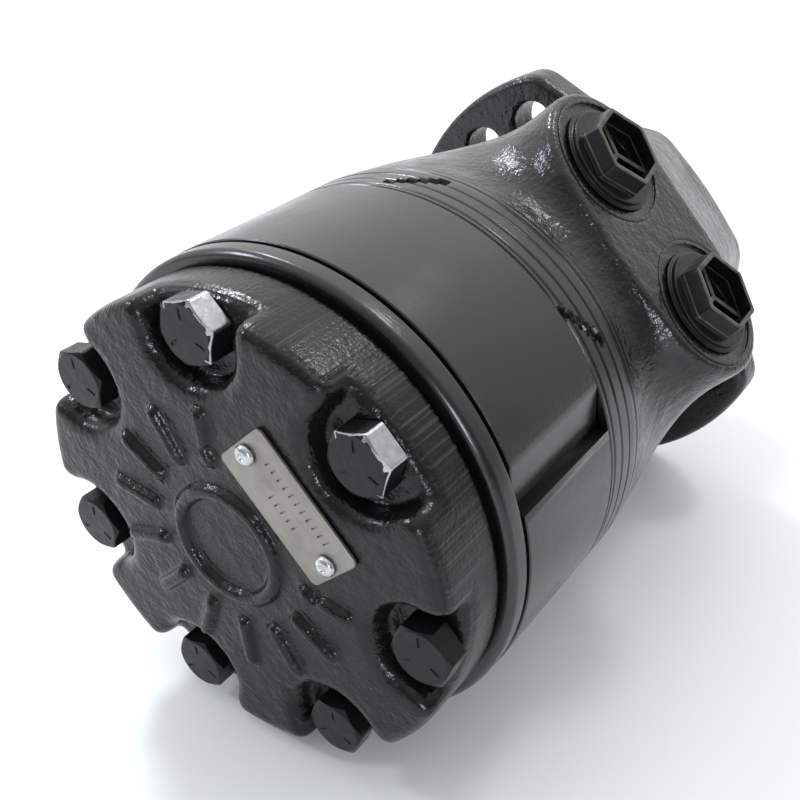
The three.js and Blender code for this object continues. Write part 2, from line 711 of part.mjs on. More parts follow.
for (const side of [-1, 1]) {
  const number = side < 0 ? 1 : 2;
  const at = [0, PORT_Y, side * PORT_HALF_SPACING];
  place(motorGroup, `port_plug_${number}`, portPlug(PLUG_SPINS[number - 1]), PLASTIC, at);
  place(motorGroup, `port_plug_seal_${number}`, plugSeal(), RUBBER, at);
}

for (let i = 0; i < COUNT; i += 1) {
  const at = polar(ROLLER_CIRCLE_R, rollerAngle(i));
  place(motorGroup, `roller_${i + 1}`, roller(), BRIGHT_STEEL, [at.x, 0, at.y]);
}

const rotorCentre = [-ECCENTRICITY, 0, 0];
place(motorGroup, 'rotor', rotor(), BRIGHT_STEEL, rotorCentre, Math.PI);
place(motorGroup, 'drive_spacer', driveSpacer(), BRIGHT_STEEL, rotorCentre);

const linkLength = LINK_SHAFT_Y - LINK_ROTOR_Y;
const linkMiddle = [-ECCENTRICITY / 2, (LINK_SHAFT_Y + LINK_ROTOR_Y) / 2, 0];
const link = place(motorGroup, 'drive_link', driveLink(), BRIGHT_STEEL, linkMiddle);
link.rotation.z = -Math.atan(ECCENTRICITY / linkLength);

place(motorGroup, 'output_shaft', outputShaft(), BRIGHT_STEEL);
place(motorGroup, 'shaft_key', shaftKey(), BRIGHT_STEEL);
place(motorGroup, 'rear_bearing', ring(24.3, BORE_R - 0.4, 54, 74, MEDIUM), BRIGHT_STEEL);
place(motorGroup, 'thrust_bearing', ring(20, BORE_R - 0.5, 108.3, 111.6, MEDIUM), BRIGHT_STEEL);
place(motorGroup, 'front_bearing', ring(19.8, 26.6, 114, 136, MEDIUM), BRIGHT_STEEL);
place(motorGroup, 'seal_backup_ring', ring(19.8, 26.6, 138, 141, MEDIUM), BRIGHT_STEEL);
place(motorGroup, 'shaft_seal', shaftSeal(), RUBBER);
place(motorGroup, 'dust_seal', dustSeal(), RUBBER);

// Turn the ports away from straight up, then stand the motor on z = 0 over the middle of its own footprint.
const group = new THREE.Group();
motorGroup.rotation.y = -ROLL;
group.add(motorGroup);
group.updateMatrixWorld(true);
const extent = new THREE.Box3().setFromObject(group, true);
const middle = extent.getCenter(new THREE.Vector3());
motorGroup.position.set(-middle.x, -middle.y, -extent.min.z);

export default group;
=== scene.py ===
"""A black-painted hydraulic motor lying on a pale table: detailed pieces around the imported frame.

Shapes are made in millimetres in the motor's own frame: X is the way the ports face, Y runs along the
shaft from the cover side of the stator, and Z completes the frame. TO_ROW takes them to the shared frame.
"""

import math

import bmesh
import bpy
import numpy as np
from mathutils import Matrix, Vector
from mathutils.geometry import tessellate_polygon


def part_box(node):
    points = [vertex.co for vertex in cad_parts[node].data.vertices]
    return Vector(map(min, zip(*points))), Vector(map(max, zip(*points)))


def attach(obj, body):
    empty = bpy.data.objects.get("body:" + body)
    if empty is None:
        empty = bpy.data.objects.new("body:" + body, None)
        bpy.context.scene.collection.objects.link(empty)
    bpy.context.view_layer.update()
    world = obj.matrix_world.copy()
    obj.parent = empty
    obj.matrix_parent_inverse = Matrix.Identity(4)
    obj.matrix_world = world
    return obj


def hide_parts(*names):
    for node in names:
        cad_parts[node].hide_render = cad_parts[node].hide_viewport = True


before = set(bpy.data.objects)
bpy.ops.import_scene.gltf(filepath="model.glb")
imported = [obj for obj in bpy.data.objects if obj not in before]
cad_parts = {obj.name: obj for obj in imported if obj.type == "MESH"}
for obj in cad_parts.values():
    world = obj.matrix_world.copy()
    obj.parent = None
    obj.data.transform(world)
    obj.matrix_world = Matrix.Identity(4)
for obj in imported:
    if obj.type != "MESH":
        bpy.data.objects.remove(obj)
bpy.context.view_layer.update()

# ---- the motor's own frame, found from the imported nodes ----
ROLL = math.radians(46)
bearing_low, bearing_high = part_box("front_bearing")
SHAFT_AXIS = (bearing_low + bearing_high) / 2
ORIGIN = Vector((SHAFT_AXIS.x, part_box("stator")[0].y, SHAFT_AXIS.z))
MM = 0.001
TO_ROW = Matrix.Translation(ORIGIN) @ Matrix.Rotation(-ROLL, 4, "Y") @ Matrix.Scale(MM, 4)

# ---- driving dimensions, in millimetres and radians ----
SIXTH_TURN = math.pi / 3
COUNT = 7
PITCH = 2 * math.pi / COUNT
BODY_R = 63.5
COVER_R = 60.4
COVER_RELIEF_R = 58.4
COVER_BACK = -7.1
COVER_FLOOR = -21.0
COVER_FACE = -28.0
POCKET_R = 12.4
POCKET_MOUTH = 16.5
BALANCE_RECESS_R = 38.0
BALANCE_RECESS_FLOOR = -15.6
MANIFOLD_FRONT = -6.8
MANIFOLD_BACK = -0.3
STATOR_END = 40.0
BOLT_CIRCLE_R = 53.1
BOLT_R = 4.76
BOLT_HOLE_R = 5.4
BOLT_HEAD_FLATS = 14.29
BOLT_HEAD_TOP = -27.4
BOLT_HEAD_FOOT = -21.3
BOLT_END = 72.0
ROLLER_CIRCLE_R = 38.5
ROLLER_POCKET_R = 8.5
LAND_R = 39.0
FLAT_START = math.radians(-18)
FLAT_END = math.radians(-28.5)
FLAT_DEPTH = 3.2
BAND_END = 57.0
BORE_R = 30.0
BEARING_R = 27
BEARING_STEP = 112
SEAL_BORE_START = 149
WEAR_PLATE_R = 47.4
PORT_Y = 90.0
PORT_HALF_SPACING = 22.2
PORT_FACE = 67.0
PORT_R = 10.2
PORT_FLOOR = 48
PASSAGE_R = 7
PASSAGE_END = 15
BOSS_R = 20.4
SPOTFACE_R = 16.9
SPOTFACE_DEPTH = 0.8
SEAL_SEAT_R = 12.9
SEAL_SEAT_DEPTH = 2.6
SHOULDER_START = 84
SHOULDER_END = 149
FLANGE_FRONT = 144.0
FLANGE_BACK = 157.0
PILOT_END = 163.0
PILOT_R = 41.28
EAR_R = 68.0
EAR_CORNER_R = 10.0
EAR_HALF_ANGLE = math.radians(23.15)  # from an ear's middle to where its corner starts
WAIST_R = 50.0
FLANGE_HOLE_CIRCLE_R = 53.2
FLANGE_HOLE_R = 6.8
FLANGE_HOLE_STEP = math.radians(22.5)
NECK_R = 42.5
SHAFT_R = 15.875
SHAFT_END = 213.0
KEY_WIDTH = 7.94
KEY_START = 172
KEY_END = 208
KEY_SUNK = 3.7
KEY_PROUD = 3.6
PLATE_X = 28.3
PLATE_WIDTH = 17.0
PLATE_LENGTH = 35.0
PLATE_BACK = -28.3
PLATE_FACE = -29.1
SCREW_HALF_SPACING = 14.4
SCREW_HOLE_R = 1.7
SCREW_TOP = -30.9
PLUG_SPINS = [math.radians(3), math.radians(12)]
PLUG_TOP = 6.5
PLUG_RIB_TOP = 2.5
PLUG_STEP = 1.4
PLUG_COLLAR_R = 14.6
PLUG_STEP_R = 13.6
PLUG_SPIGOT_R = 9.6
PLUG_DEPTH = 12.0
PLUG_WELL_R = 7.6
PLUG_WELL_DEPTH = 9.0
PLUG_FOOT_FLATS = 20.8
PLUG_RIM_FLATS = 19.2


# ---- sampled solids: signed distances on a grid, and the surface where they are zero ----
def smooth_max(a, b, width):
    """The larger of two distances, with the crease between them rounded over about this width."""
    overlap = np.clip(width - np.abs(a - b), 0, None) / width
    return np.maximum(a, b) + overlap * overlap * width / 4


def smooth_min(a, b, width):
    return -smooth_max(-a, -b, width)


def folded(angle, step):
    """An angle measured from the nearest multiple of this step."""
    return (angle + step / 2) % step - step / 2


def polygon_distance(points, x, y):
    """Signed distance from the points (x, y) to a closed outline, negative inside."""
    nearest = np.full(x.shape, np.inf)
    inside = np.zeros(x.shape, bool)
    for (x0, y0), (x1, y1) in zip(points, points[1:] + points[:1]):
        run, rise = x1 - x0, y1 - y0
        share = np.clip(((x - x0) * run + (y - y0) * rise) / (run * run + rise * rise), 0, 1)
        nearest = np.minimum(nearest, (x - x0 - share * run) ** 2 + (y - y0 - share * rise) ** 2)
        if rise:
            crosses = (y0 > y) != (y1 > y)
            inside ^= crosses & (x < x0 + (y - y0) * run / rise)
    return np.where(inside, -1, 1) * np.sqrt(nearest)


def surface_net(field, low, step):
    """Vertices and quads of the zero surface of a sampled field, one vertex in each cell that it crosses."""
    inside = field < 0
    cells_shape = tuple(n - 1 for n in field.shape)
    corners = np.zeros(cells_shape, np.int8)
    for i, j, k in np.ndindex(2, 2, 2):
        corners += inside[i:i + cells_shape[0], j:j + cells_shape[1], k:k + cells_shape[2]]
    active = (corners > 0) & (corners < 8)
    cells = np.argwhere(active)
    index = np.full(cells_shape, -1, np.int32)
    index[active] = np.arange(len(cells))
    total = np.zeros((len(cells), 3))
    hits = np.zeros(len(cells))
    for axis in range(3):
        unit = np.eye(3, dtype=int)[axis]
        others = [a for a in range(3) if a != axis]
        for i, j in np.ndindex(2, 2):
            start = cells.copy()
            start[:, others[0]] += i
            start[:, others[1]] += j
            end = start + unit
            a = field[start[:, 0], start[:, 1], start[:, 2]]
            b = field[end[:, 0], end[:, 1], end[:, 2]]
            crossed = (a < 0) != (b < 0)
            share = (a / np.where(crossed, a - b, 1))[:, None]
            total[crossed] += (start + share * unit)[crossed]
            hits += crossed
    vertices = np.asarray(low) + step * total / hits[:, None]
    quads = []
    for axis in range(3):
        u, v = (axis + 1) % 3, (axis + 2) % 3
        lower = np.moveaxis(inside, axis, 0)[:-1]
        upper = np.moveaxis(inside, axis, 0)[1:]
        edges = np.argwhere(np.moveaxis(lower != upper, 0, axis))
        edges = edges[(edges[:, u] > 0) & (edges[:, v] > 0)]
        edges = edges[(edges[:, u] < cells_shape[u]) & (edges[:, v] < cells_shape[v])]
        around = []
        for du, dv in ((1, 1), (0, 1), (0, 0), (1, 0)):
            cell = edges.copy()
            cell[:, u] -= du
            cell[:, v] -= dv
            around.append(index[cell[:, 0], cell[:, 1], cell[:, 2]])
        quad = np.stack(around, axis=1)
        outward = inside[edges[:, 0], edges[:, 1], edges[:, 2]]
        quad[~outward] = quad[~outward][:, ::-1]
        quads.append(quad)
    return vertices, np.concatenate(quads)


class Grid:
    """Sample points of a box in the motor's frame, with the distances that the castings are made of."""

    def __init__(self, low, high, step):
        self.low = np.array(low, float)
        self.step = step
        counts = np.ceil((np.array(high) - self.low) / step).astype(int) + 1
        xs, ys, zs = (self.low[a] + step * np.arange(counts[a]) for a in range(3))
        self.x = xs[:, None, None].astype(np.float32)
        self.y = ys[None, :, None].astype(np.float32)
        self.z = zs[None, None, :].astype(np.float32)
        self.radius = np.hypot(self.x, self.z)
        fold = folded(np.arctan2(self.z, self.x), PITCH)
        self.bolt_out = self.radius * np.cos(fold)      # along the nearest bolt's radius
        self.bolt_side = self.radius * np.sin(fold)     # across it

    def revolved(self, profile):
        """Distance to a body turned about Y from (radius, y) points."""
        radii = np.arange(0, self.radius.max() + 1, 0.25)
        result = np.empty((self.x.size, self.y.size, self.z.size), np.float32)
        for j, y in enumerate(self.y.ravel()):
            slice_distance = polygon_distance(profile, radii, np.full_like(radii, y))
            result[:, j, :] = np.interp(self.radius[:, 0, :], radii, slice_distance)
        return result

    def pulled_along_y(self, outline, start, end, rounding):
        """Distance to an outline in the X-Z plane pulled along Y, with its edges rounded."""
        x, z = np.broadcast_arrays(self.x, self.z)
        flat = polygon_distance(outline, x, z).astype(np.float32)
        return smooth_max(flat, np.abs(self.y - (start + end) / 2) - (end - start) / 2, rounding)

    def bolt_holes(self):
        return np.hypot(self.bolt_out - BOLT_CIRCLE_R, self.bolt_side) - BOLT_HOLE_R

    def surface(self, field):
        full = np.broadcast_to(field, (self.x.size, self.y.size, self.z.size))
        return surface_net(full, self.low, self.step)


# ---- outlines and turned bodies ----
def arc(centre, radius, start, end, steps):
    angles = [start + (end - start) * i / steps for i in range(steps + 1)]
    return [(centre[0] + radius * math.cos(a), centre[1] + radius * math.sin(a)) for a in angles]


def polar(radius, angle):
    return radius * math.cos(angle), radius * math.sin(angle)


def circle(centre, radius):
    steps = 32
    return arc(centre, radius, 0, 2 * math.pi, steps)[:-1]


def rotated(x, z, angle):
    return x * math.cos(angle) - z * math.sin(angle), x * math.sin(angle) + z * math.cos(angle)


def softened(profile, radius, steps=4):
    """An open profile with each inner corner replaced by a short curve."""
    points = [np.array(p, float) for p in profile]
    result = [points[0]]
    for before, corner, after in zip(points, points[1:], points[2:]):
        back = before - corner
        ahead = after - corner
        back_length = np.linalg.norm(back[:2])
        ahead_length = np.linalg.norm(ahead[:2])
        start = corner + back * min(radius / back_length, 0.45)
        end = corner + ahead * min(radius / ahead_length, 0.45)
        for i in range(steps + 1):
            t = i / steps
            result.append((1 - t) ** 2 * start + 2 * t * (1 - t) * corner + t * t * end)
    result.append(points[-1])
    return [tuple(p) for p in result]


def hexagon_radius(flats, angles):
    """Radius of a hexagon across the flats, with its corners slightly rounded."""
    half = flats / 2
    sharp = half / np.cos(math.pi / 6 - np.abs(folded(angles, SIXTH_TURN)))
    corner = half / math.cos(math.pi / 6) * 0.985
    return -np.asarray(smooth_max(-sharp, -np.full_like(sharp, corner), flats * 0.012))


def joined_rings(levels, count, closed=False):
    """Quads between rings that hold this many points each. A closed body's last ring meets its first."""
    faces = []
    for level in range(levels if closed else levels - 1):
        here = level * count
        there = ((level + 1) % levels) * count
        for i in range(count):
            j = (i + 1) % count
            faces.append((here + i, here + j, there + j, there + i))
    return faces


def capped_rings(levels, count):
    """The same quads, with a face over each end."""
    top = (levels - 1) * count
    return [*joined_rings(levels, count), tuple(reversed(range(count))), tuple(range(top, top + count))]


def turned(profile, segments, spin=0.0, closed=False):
    """A body turned about Y. A profile point is (radius, y) or (flats, y, 1) where the section is hexagonal.
    An open profile starts and ends on the axis, and a closed one joins its last point to its first."""
    angles = np.linspace(0, 2 * math.pi, segments, endpoint=False)
    rings = []
    for point in profile:
        radius = np.full(segments, float(point[0]))
        if len(point) > 2:
            radius = point[2] * hexagon_radius(point[0], angles) + (1 - point[2]) * radius
        height = np.full(segments, float(point[1]))
        rings.append(np.column_stack([
            radius * np.cos(angles + spin), height, radius * np.sin(angles + spin)]))
    return np.concatenate(rings), joined_rings(len(profile), segments, closed)


def pulled(outline, start, end, chamfer=0.0):
    """An outline in the X-Z plane pulled along Y, its ends drawn in a little by the chamfer."""
    points = np.array(outline)
    if chamfer:
        ahead = np.roll(points, -1, axis=0) - np.roll(points, 1, axis=0)
        normal = np.column_stack([ahead[:, 1], -ahead[:, 0]])
        normal /= np.linalg.norm(normal, axis=1)[:, None]
        drawn = points - normal * chamfer
        levels = [(drawn, start), (points, start + chamfer), (points, end - chamfer), (drawn, end)]
    else:
        levels = [(points, start), (points, end)]
    vertices = np.concatenate([np.insert(p, 1, y, axis=1) for p, y in levels])
    return vertices, capped_rings(len(levels), len(points))


def perforated(outline, holes, start, end, chamfer):
    """An outline with holes in it, pulled along Y, with the outline's own ends chamfered."""
    vertices, faces = pulled(outline, start, end, chamfer)
    vertices = [tuple(v) for v in vertices]
    faces = faces[:-2]
    loops = [(0, len(vertices) - len(outline), len(outline))]
    for hole in holes:
        first = len(vertices)
        count = len(hole)
        vertices += [(x, start, z) for x, z in hole] + [(x, end, z) for x, z in hole]
        loops.append((first, first + count, count))
        faces += [tuple(first + n for n in face) for face in joined_rings(2, count)]
    for end_index in (0, 1):
        numbers = [[loop[end_index] + i for i in range(loop[2])] for loop in loops]
        flat = [[Vector((vertices[n][0], vertices[n][2], 0)) for n in loop] for loop in numbers]
        order = [n for loop in numbers for n in loop]
        faces += [tuple(order[i] for i in triangle) for triangle in tessellate_polygon(flat)]
    return np.array(vertices), faces


def box_mesh(low, high):
    corners = [(low[0], low[2]), (high[0], low[2]), (high[0], high[2]), (low[0], high[2])]
    return pulled(corners, low[1], high[1])


def along_x(shape, centre):
    """Turns a body made about Y to stand on the port face, at this (y, z)."""
    vertices, faces = shape
    x, y, z = np.asarray(vertices).T
    return np.column_stack([y, x + centre[0], z + centre[1]]), faces


# ---- meshes ----
def in_scene(name, data):
    made = bpy.data.objects.new(name, data)
    bpy.context.scene.collection.objects.link(made)
    return made


def new_mesh(name, vertices, faces):
    mesh = bpy.data.meshes.new(name)
    mesh.from_pydata(np.asarray(vertices, float).tolist(), [], [list(map(int, f)) for f in faces])
    return mesh


def cleaned(mesh, merge=True):
    """Turns every face outwards, after merging the points that coincide on the axis."""
    coincident = 1e-4
    shape = bmesh.new()
    shape.from_mesh(mesh)
    if merge:
        bmesh.ops.remove_doubles(shape, verts=shape.verts, dist=coincident)
    bmesh.ops.recalc_face_normals(shape, faces=shape.faces)
    shape.to_mesh(mesh)
    shape.free()
    return mesh


def solid(name, shape):
    return cleaned(new_mesh(name, *shape))


def with_modifier(mesh, kind, **values):
    """The mesh after one modifier of this kind, with these properties."""
    worker = in_scene("worker", mesh)
    modifier = worker.modifiers.new(kind.lower(), kind)
    for key, value in values.items():
        setattr(modifier, key, value)
    evaluated = worker.evaluated_get(bpy.context.evaluated_depsgraph_get())
    result = bpy.data.meshes.new_from_object(evaluated)
    bpy.data.objects.remove(worker)
    return result


def combined(mesh, others, operation):
    """The mesh joined with, or cut by, other closed meshes."""
    for other in others:
        tool = in_scene("tool", other)
        mesh = with_modifier(mesh, "BOOLEAN", object=tool, operation=operation, solver="EXACT")
        bpy.data.objects.remove(tool)
    return mesh


def bevelled(mesh, width, segments=2):
    return with_modifier(
        mesh, "BEVEL", width=width, segments=segments, limit_method="ANGLE", angle_limit=math.radians(30),
        use_clamp_overlap=True, miter_outer="MITER_ARC")


def add_piece(name, mesh, material, nodes, body="motor_body", sharp_angle=40):
    mesh.transform(TO_ROW)
    mesh.materials.clear()
    mesh.materials.append(material)
    mesh.shade_smooth()
    mesh.set_sharp_from_angle(angle=math.radians(sharp_angle))
    piece = in_scene(name, mesh)
    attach(piece, body)
    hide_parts(*nodes)


# ---- materials ----
class Look:
    """A node material with short calls for what the finishes share."""

    def __init__(self, name, colour, roughness, metallic=0.0, gloss=0.5):
        self.material = bpy.data.materials.new(name)
        self.material.use_nodes = True
        self.nodes = self.material.node_tree.nodes
        self.links = self.material.node_tree.links
        self.shader = self.nodes["Principled BSDF"]
        values = {"Base Color": (*colour, 1), "Roughness": roughness, "Metallic": metallic,
                  "Specular IOR Level": gloss}
        for socket, value in values.items():
            self.shader.inputs[socket].default_value = value
        self.height = None
        coordinates = self.nodes.new("ShaderNodeTexCoord")
        self.place = self.nodes.new("ShaderNodeMapping")
        self.place.vector_type = "TEXTURE"
        self.place.inputs["Location"].default_value = ORIGIN
        self.place.inputs["Rotation"].default_value = (0, -ROLL, 0)
        self.links.new(coordinates.outputs["Object"], self.place.inputs["Vector"])

    def stretched(self, scale):
        """The motor's own coordinates in metres, multiplied along X, Y and Z."""
        node = self.nodes.new("ShaderNodeMapping")
        node.inputs["Scale"].default_value = scale
        self.links.new(self.place.outputs["Vector"], node.inputs["Vector"])
        return node.outputs["Vector"]

    def texture(self, kind, stretch, **values):
        node = self.nodes.new(kind)
        for socket, value in values.items():
            node.inputs[socket].default_value = value
        self.links.new(self.stretched(stretch), node.inputs["Vector"])
        return node.outputs

    def noise(self, scale, detail, stretch=(1, 1, 1), rough=0.5):
        values = {"Scale": scale, "Detail": detail, "Roughness": rough}
        return self.texture("ShaderNodeTexNoise", stretch, **values)["Fac"]

    def grains(self, scale):
        return self.texture("ShaderNodeTexVoronoi", (1, 1, 1), Scale=scale)["Distance"]

    def ramp(self, value, stops):
        """A value remapped through (position, level) stops."""
        node = self.nodes.new("ShaderNodeValToRGB")
        while len(node.color_ramp.elements) < len(stops):
            node.color_ramp.elements.new(1.0)
        for element, (position, level) in zip(node.color_ramp.elements, stops):
            element.position = position
            element.color = (*level, 1) if isinstance(level, tuple) else (level, level, level, 1)
        self.links.new(value, node.inputs["Fac"])
        return node.outputs["Color"]

    def mixed(self, share, first, second):
        """Colour first where share is 0, second where it is 1."""
        node = self.nodes.new("ShaderNodeMix")
        node.data_type = "RGBA"
        self.links.new(share, node.inputs["Factor"])
        for socket, colour in (("A", first), ("B", second)):
            found = [s for s in node.inputs if s.name == socket and s.type == "RGBA"][0]
            if isinstance(colour, tuple):
                found.default_value = (*colour, 1)
            else:
                self.links.new(colour, found)
        return [s for s in node.outputs if s.type == "RGBA"][0]

    def maths(self, operation, first, second):
        node = self.nodes.new("ShaderNodeMath")
        node.operation = operation
        for socket, value in zip(node.inputs, (first, second)):
            if isinstance(value, (int, float)):
                socket.default_value = value
            else:
                self.links.new(value, socket)
        return node.outputs["Value"]

    def local_axis(self, axis):
        node = self.nodes.new("ShaderNodeSeparateXYZ")
        self.links.new(self.place.outputs["Vector"], node.inputs["Vector"])
        return node.outputs[axis]

    def radius(self):
        """Distance from the shaft axis, in metres."""
        x = self.local_axis("X")
        z = self.local_axis("Z")
        squared = self.maths("ADD", self.maths("MULTIPLY", x, x), self.maths("MULTIPLY", z, z))
        return self.maths("SQRT", squared, 0)

    def set(self, socket, value):
        self.links.new(value, self.shader.inputs[socket])

    def base_colour(self, share, first, second):
        self.set("Base Color", self.mixed(share, first, second))

    def roughness(self, scale, detail, *stops, stretch=(1, 1, 1)):
        self.set("Roughness", self.ramp(self.noise(scale, detail, stretch), stops))

    def dust(self):
        """0 where the paint is clean and 1 where dust has settled, in patches of a few centimetres."""
        return self.ramp(self.noise(38, 5, rough=0.62), [(0.42, 0.0), (0.75, 1.0)])

    def bump(self, value, depth):
        """Relief of this depth in millimetres, on top of any given before."""
        node = self.nodes.new("ShaderNodeBump")
        node.inputs["Distance"].default_value = depth * MM
        self.links.new(value, node.inputs["Height"])
        if self.height is not None:
            self.links.new(self.height, node.inputs["Normal"])
        self.height = node.outputs["Normal"]
        self.links.new(self.height, self.shader.inputs["Normal"])


PAINT = (0.0035, 0.0035, 0.0037)
DUSTY_PAINT = (0.011, 0.0105, 0.0098)
DULLED_PAINT = (0.008, 0.0078, 0.0075)
SCRATCHED_PAINT = (0.1, 0.1, 0.1)
BOLT_BLACK = (0.006, 0.006, 0.0065)
DULL_STEEL = (0.3, 0.3, 0.31)
BARE_STEEL = (0.52, 0.52, 0.53)
PLASTIC = (0.005, 0.005, 0.0055)
RIM_DUST = (0.085, 0.078, 0.066)


def cast_paint():
    """Thick black enamel over a sand casting: lumps of a few millimetres, fine orange peel, and dust."""
    look = Look("cast_paint", PAINT, 0.3, gloss=0.56)
    look.base_colour(look.dust(), PAINT, DUSTY_PAINT)
    look.roughness(120, 4, (0.3, 0.17), (0.72, 0.33))
    look.bump(look.noise(260, 3, rough=0.55), 0.5)
    look.bump(look.noise(900, 2), 0.16)
    look.bump(look.ramp(look.grains(420), [(0.05, 0.0), (0.3, 1.0)]), 0.05)
    return look.material


def machined_paint(name, stretch, depth):
    """Black enamel over a machined surface: the tool's lines show through in the stretched direction."""
    look = Look(name, PAINT, 0.26, gloss=0.62)
    dust = look.ramp(look.noise(45, 4), [(0.45, 0.0), (0.8, 1.0)])
    look.base_colour(dust, PAINT, DULLED_PAINT)
    look.roughness(70, 5, (0.35, 0.2), (0.7, 0.3))
    look.bump(look.noise(1, 4, stretch), depth)
    look.bump(look.noise(700, 2), 0.035)
    return look.material


def cover_paint():
    """The end cover: cast on its face and in its pockets, machined and scratched along the rim."""
    look = Look("cover_paint", PAINT, 0.3, gloss=0.3)
    along_the_rim = (1500, 14, 1500)
    decimetres = look.maths("MULTIPLY", look.radius(), 10)
    rim = look.ramp(decimetres, [(0.598, 0.0), (0.6015, 1.0)])
    inner = look.maths("SUBTRACT", 1.0, rim)
    dust = look.dust()
    scratches = look.ramp(look.noise(1, 3, along_the_rim), [(0.5, 0.0), (0.72, 1.0)])
    patches = look.ramp(look.noise(26, 2), [(0.4, 0.15), (0.62, 1.0)])
    worn = look.maths("MULTIPLY", look.maths("MULTIPLY", scratches, patches), rim)
    dusty = look.mixed(dust, PAINT, DUSTY_PAINT)
    look.base_colour(look.maths("MULTIPLY", worn, 0.55), dusty, SCRATCHED_PAINT)
    look.roughness(120, 4, (0.3, 0.15), (0.72, 0.32))
    look.bump(look.maths("MULTIPLY", look.noise(260, 3, rough=0.55), inner), 0.5)
    look.bump(look.noise(900, 2), 0.14)
    look.bump(look.maths("MULTIPLY", look.noise(1, 3, along_the_rim), rim), 0.1)
    return look.material


def bolt_paint(name, wear_and_sheen):
    """Blackened bolt head, bright bare steel where the mesh's edge attribute and the wear together are high:
    partly wear, partly painted highlight on the flats that face up.
    """
    look = Look(name, PAINT, 0.3, gloss=0.25)
    edge = look.nodes.new("ShaderNodeAttribute")
    edge.attribute_name = "edge"
    uneven = look.maths("MULTIPLY", look.noise(420, 5, rough=0.7), 0.7)
    rough_edge = look.maths("ADD", edge.outputs["Fac"], uneven)
    # bare steel: worn edges, plus a painted highlight on the flats that face up towards the light
    bare_and_sheen = look.ramp(rough_edge, [(1.08 - wear_and_sheen, 0.0), (1.16 - wear_and_sheen, 1.0)])
    steel = look.mixed(look.noise(600, 3), DULL_STEEL, BARE_STEEL)
    look.base_colour(bare_and_sheen, BOLT_BLACK, steel)
    look.set("Metallic", bare_and_sheen)
    look.roughness(300, 4, (0.3, 0.22), (0.7, 0.42))
    look.bump(look.noise(500, 4), 0.12)
    look.bump(look.maths("SUBTRACT", 1.0, bare_and_sheen), 0.03)
    return look.material


def bright_steel():
    """Ground steel with fine rings round the shaft axis."""
    look = Look("bright_steel", (0.5, 0.5, 0.51), 0.28, 1.0)
    look.base_colour(look.noise(60, 5), (0.36, 0.355, 0.35), (0.56, 0.56, 0.57))
    look.roughness(90, 4, (0.3, 0.2), (0.7, 0.36))
    look.bump(look.noise(1, 3, (40, 5200, 40)), 0.01)
    return look.material


def plate_aluminium():
    """Satin plate, rolled along its length, with a little grime and a few fine scratches."""
    look = Look("plate_aluminium", (0.62, 0.58, 0.53), 0.4, 0.75)
    grime = look.ramp(look.noise(150, 6, rough=0.65), [(0.42, 0.0), (0.78, 1.0)])
    look.base_colour(grime, (0.29, 0.273, 0.252), (0.21, 0.193, 0.168))
    look.roughness(1, 3, (0.3, 0.34), (0.7, 0.5), stretch=(1800, 1800, 90))
    look.bump(look.noise(1, 4, (2400, 2400, 60)), 0.012)
    look.bump(look.noise(240, 3), 0.03)
    return look.material


def zinc():
    look = Look("zinc", (0.62, 0.63, 0.64), 0.25, 1.0)
    look.base_colour(look.noise(500, 4), (0.3, 0.3, 0.3), (0.75, 0.76, 0.77))
    look.roughness(700, 3, (0.3, 0.15), (0.7, 0.4))
    look.bump(look.noise(900, 3), 0.06)
    return look.material


def plug_plastic():
    """Black moulded plastic, dusty brown along its rims."""
    within = 0.2
    look = Look("plug_plastic", PLASTIC, 0.3, gloss=0.3)
    height = look.maths("SUBTRACT", look.local_axis("X"), PORT_FACE * MM)
    on_rim = look.maths("GREATER_THAN", height, (PLUG_TOP - within) * MM)
    on_rib = look.maths("COMPARE", height, PLUG_RIB_TOP * MM)
    on_rib.node.inputs[2].default_value = within * MM
    dusty = look.maths("MULTIPLY", look.maths("ADD", on_rim, on_rib), look.noise(350, 4))
    share = look.ramp(dusty, [(0.2, 0.0), (0.6, 1.0)])
    look.base_colour(share, PLASTIC, RIM_DUST)
    look.roughness(260, 4, (0.3, 0.24), (0.7, 0.42))
    look.bump(look.noise(700, 3), 0.05)
    return look.material


def rubber():
    look = Look("seal_rubber", (0.012, 0.012, 0.012), 0.6)
    look.roughness(400, 4, (0.3, 0.5), (0.7, 0.75))
    look.bump(look.noise(1200, 3), 0.03)
    return look.material


def table_white():
    look = Look("table_white", (0.86, 0.86, 0.865), 0.45)
    look.base_colour(look.noise(4, 3), (0.84, 0.84, 0.85), (0.88, 0.88, 0.88))
    look.roughness(30, 4, (0.3, 0.4), (0.7, 0.5))
    return look.material


# ---- end cover ----
def cover_relief(grid):
    """Raised casting marks on the cover's face: a hub ring and short spokes, kept clear of the nameplate."""
    height = 2.1
    half_width = 2.0
    ring_r = 14.5
    spoke_count = 14
    spoke_middle_r = 29
    spoke_half_length = 7.5
    clear_of_plate = 3
    fold = folded(np.arctan2(grid.z, grid.x), 2 * math.pi / spoke_count)
    across = np.abs(grid.radius * np.sin(fold)) - half_width
    spoke = smooth_max(across, np.abs(grid.radius - spoke_middle_r) - spoke_half_length, half_width)
    ring = np.abs(grid.radius - ring_r) - half_width
    marks = np.minimum(spoke, ring)
    beside_plate = np.abs(grid.x - PLATE_X) - PLATE_WIDTH / 2 - clear_of_plate
    beyond_plate = np.abs(grid.z) - PLATE_LENGTH / 2 - clear_of_plate
    marks = smooth_max(marks, -np.maximum(beside_plate, beyond_plate), 1.0)
    return smooth_max(marks, np.abs(grid.y - COVER_FACE) - height, 2.4)


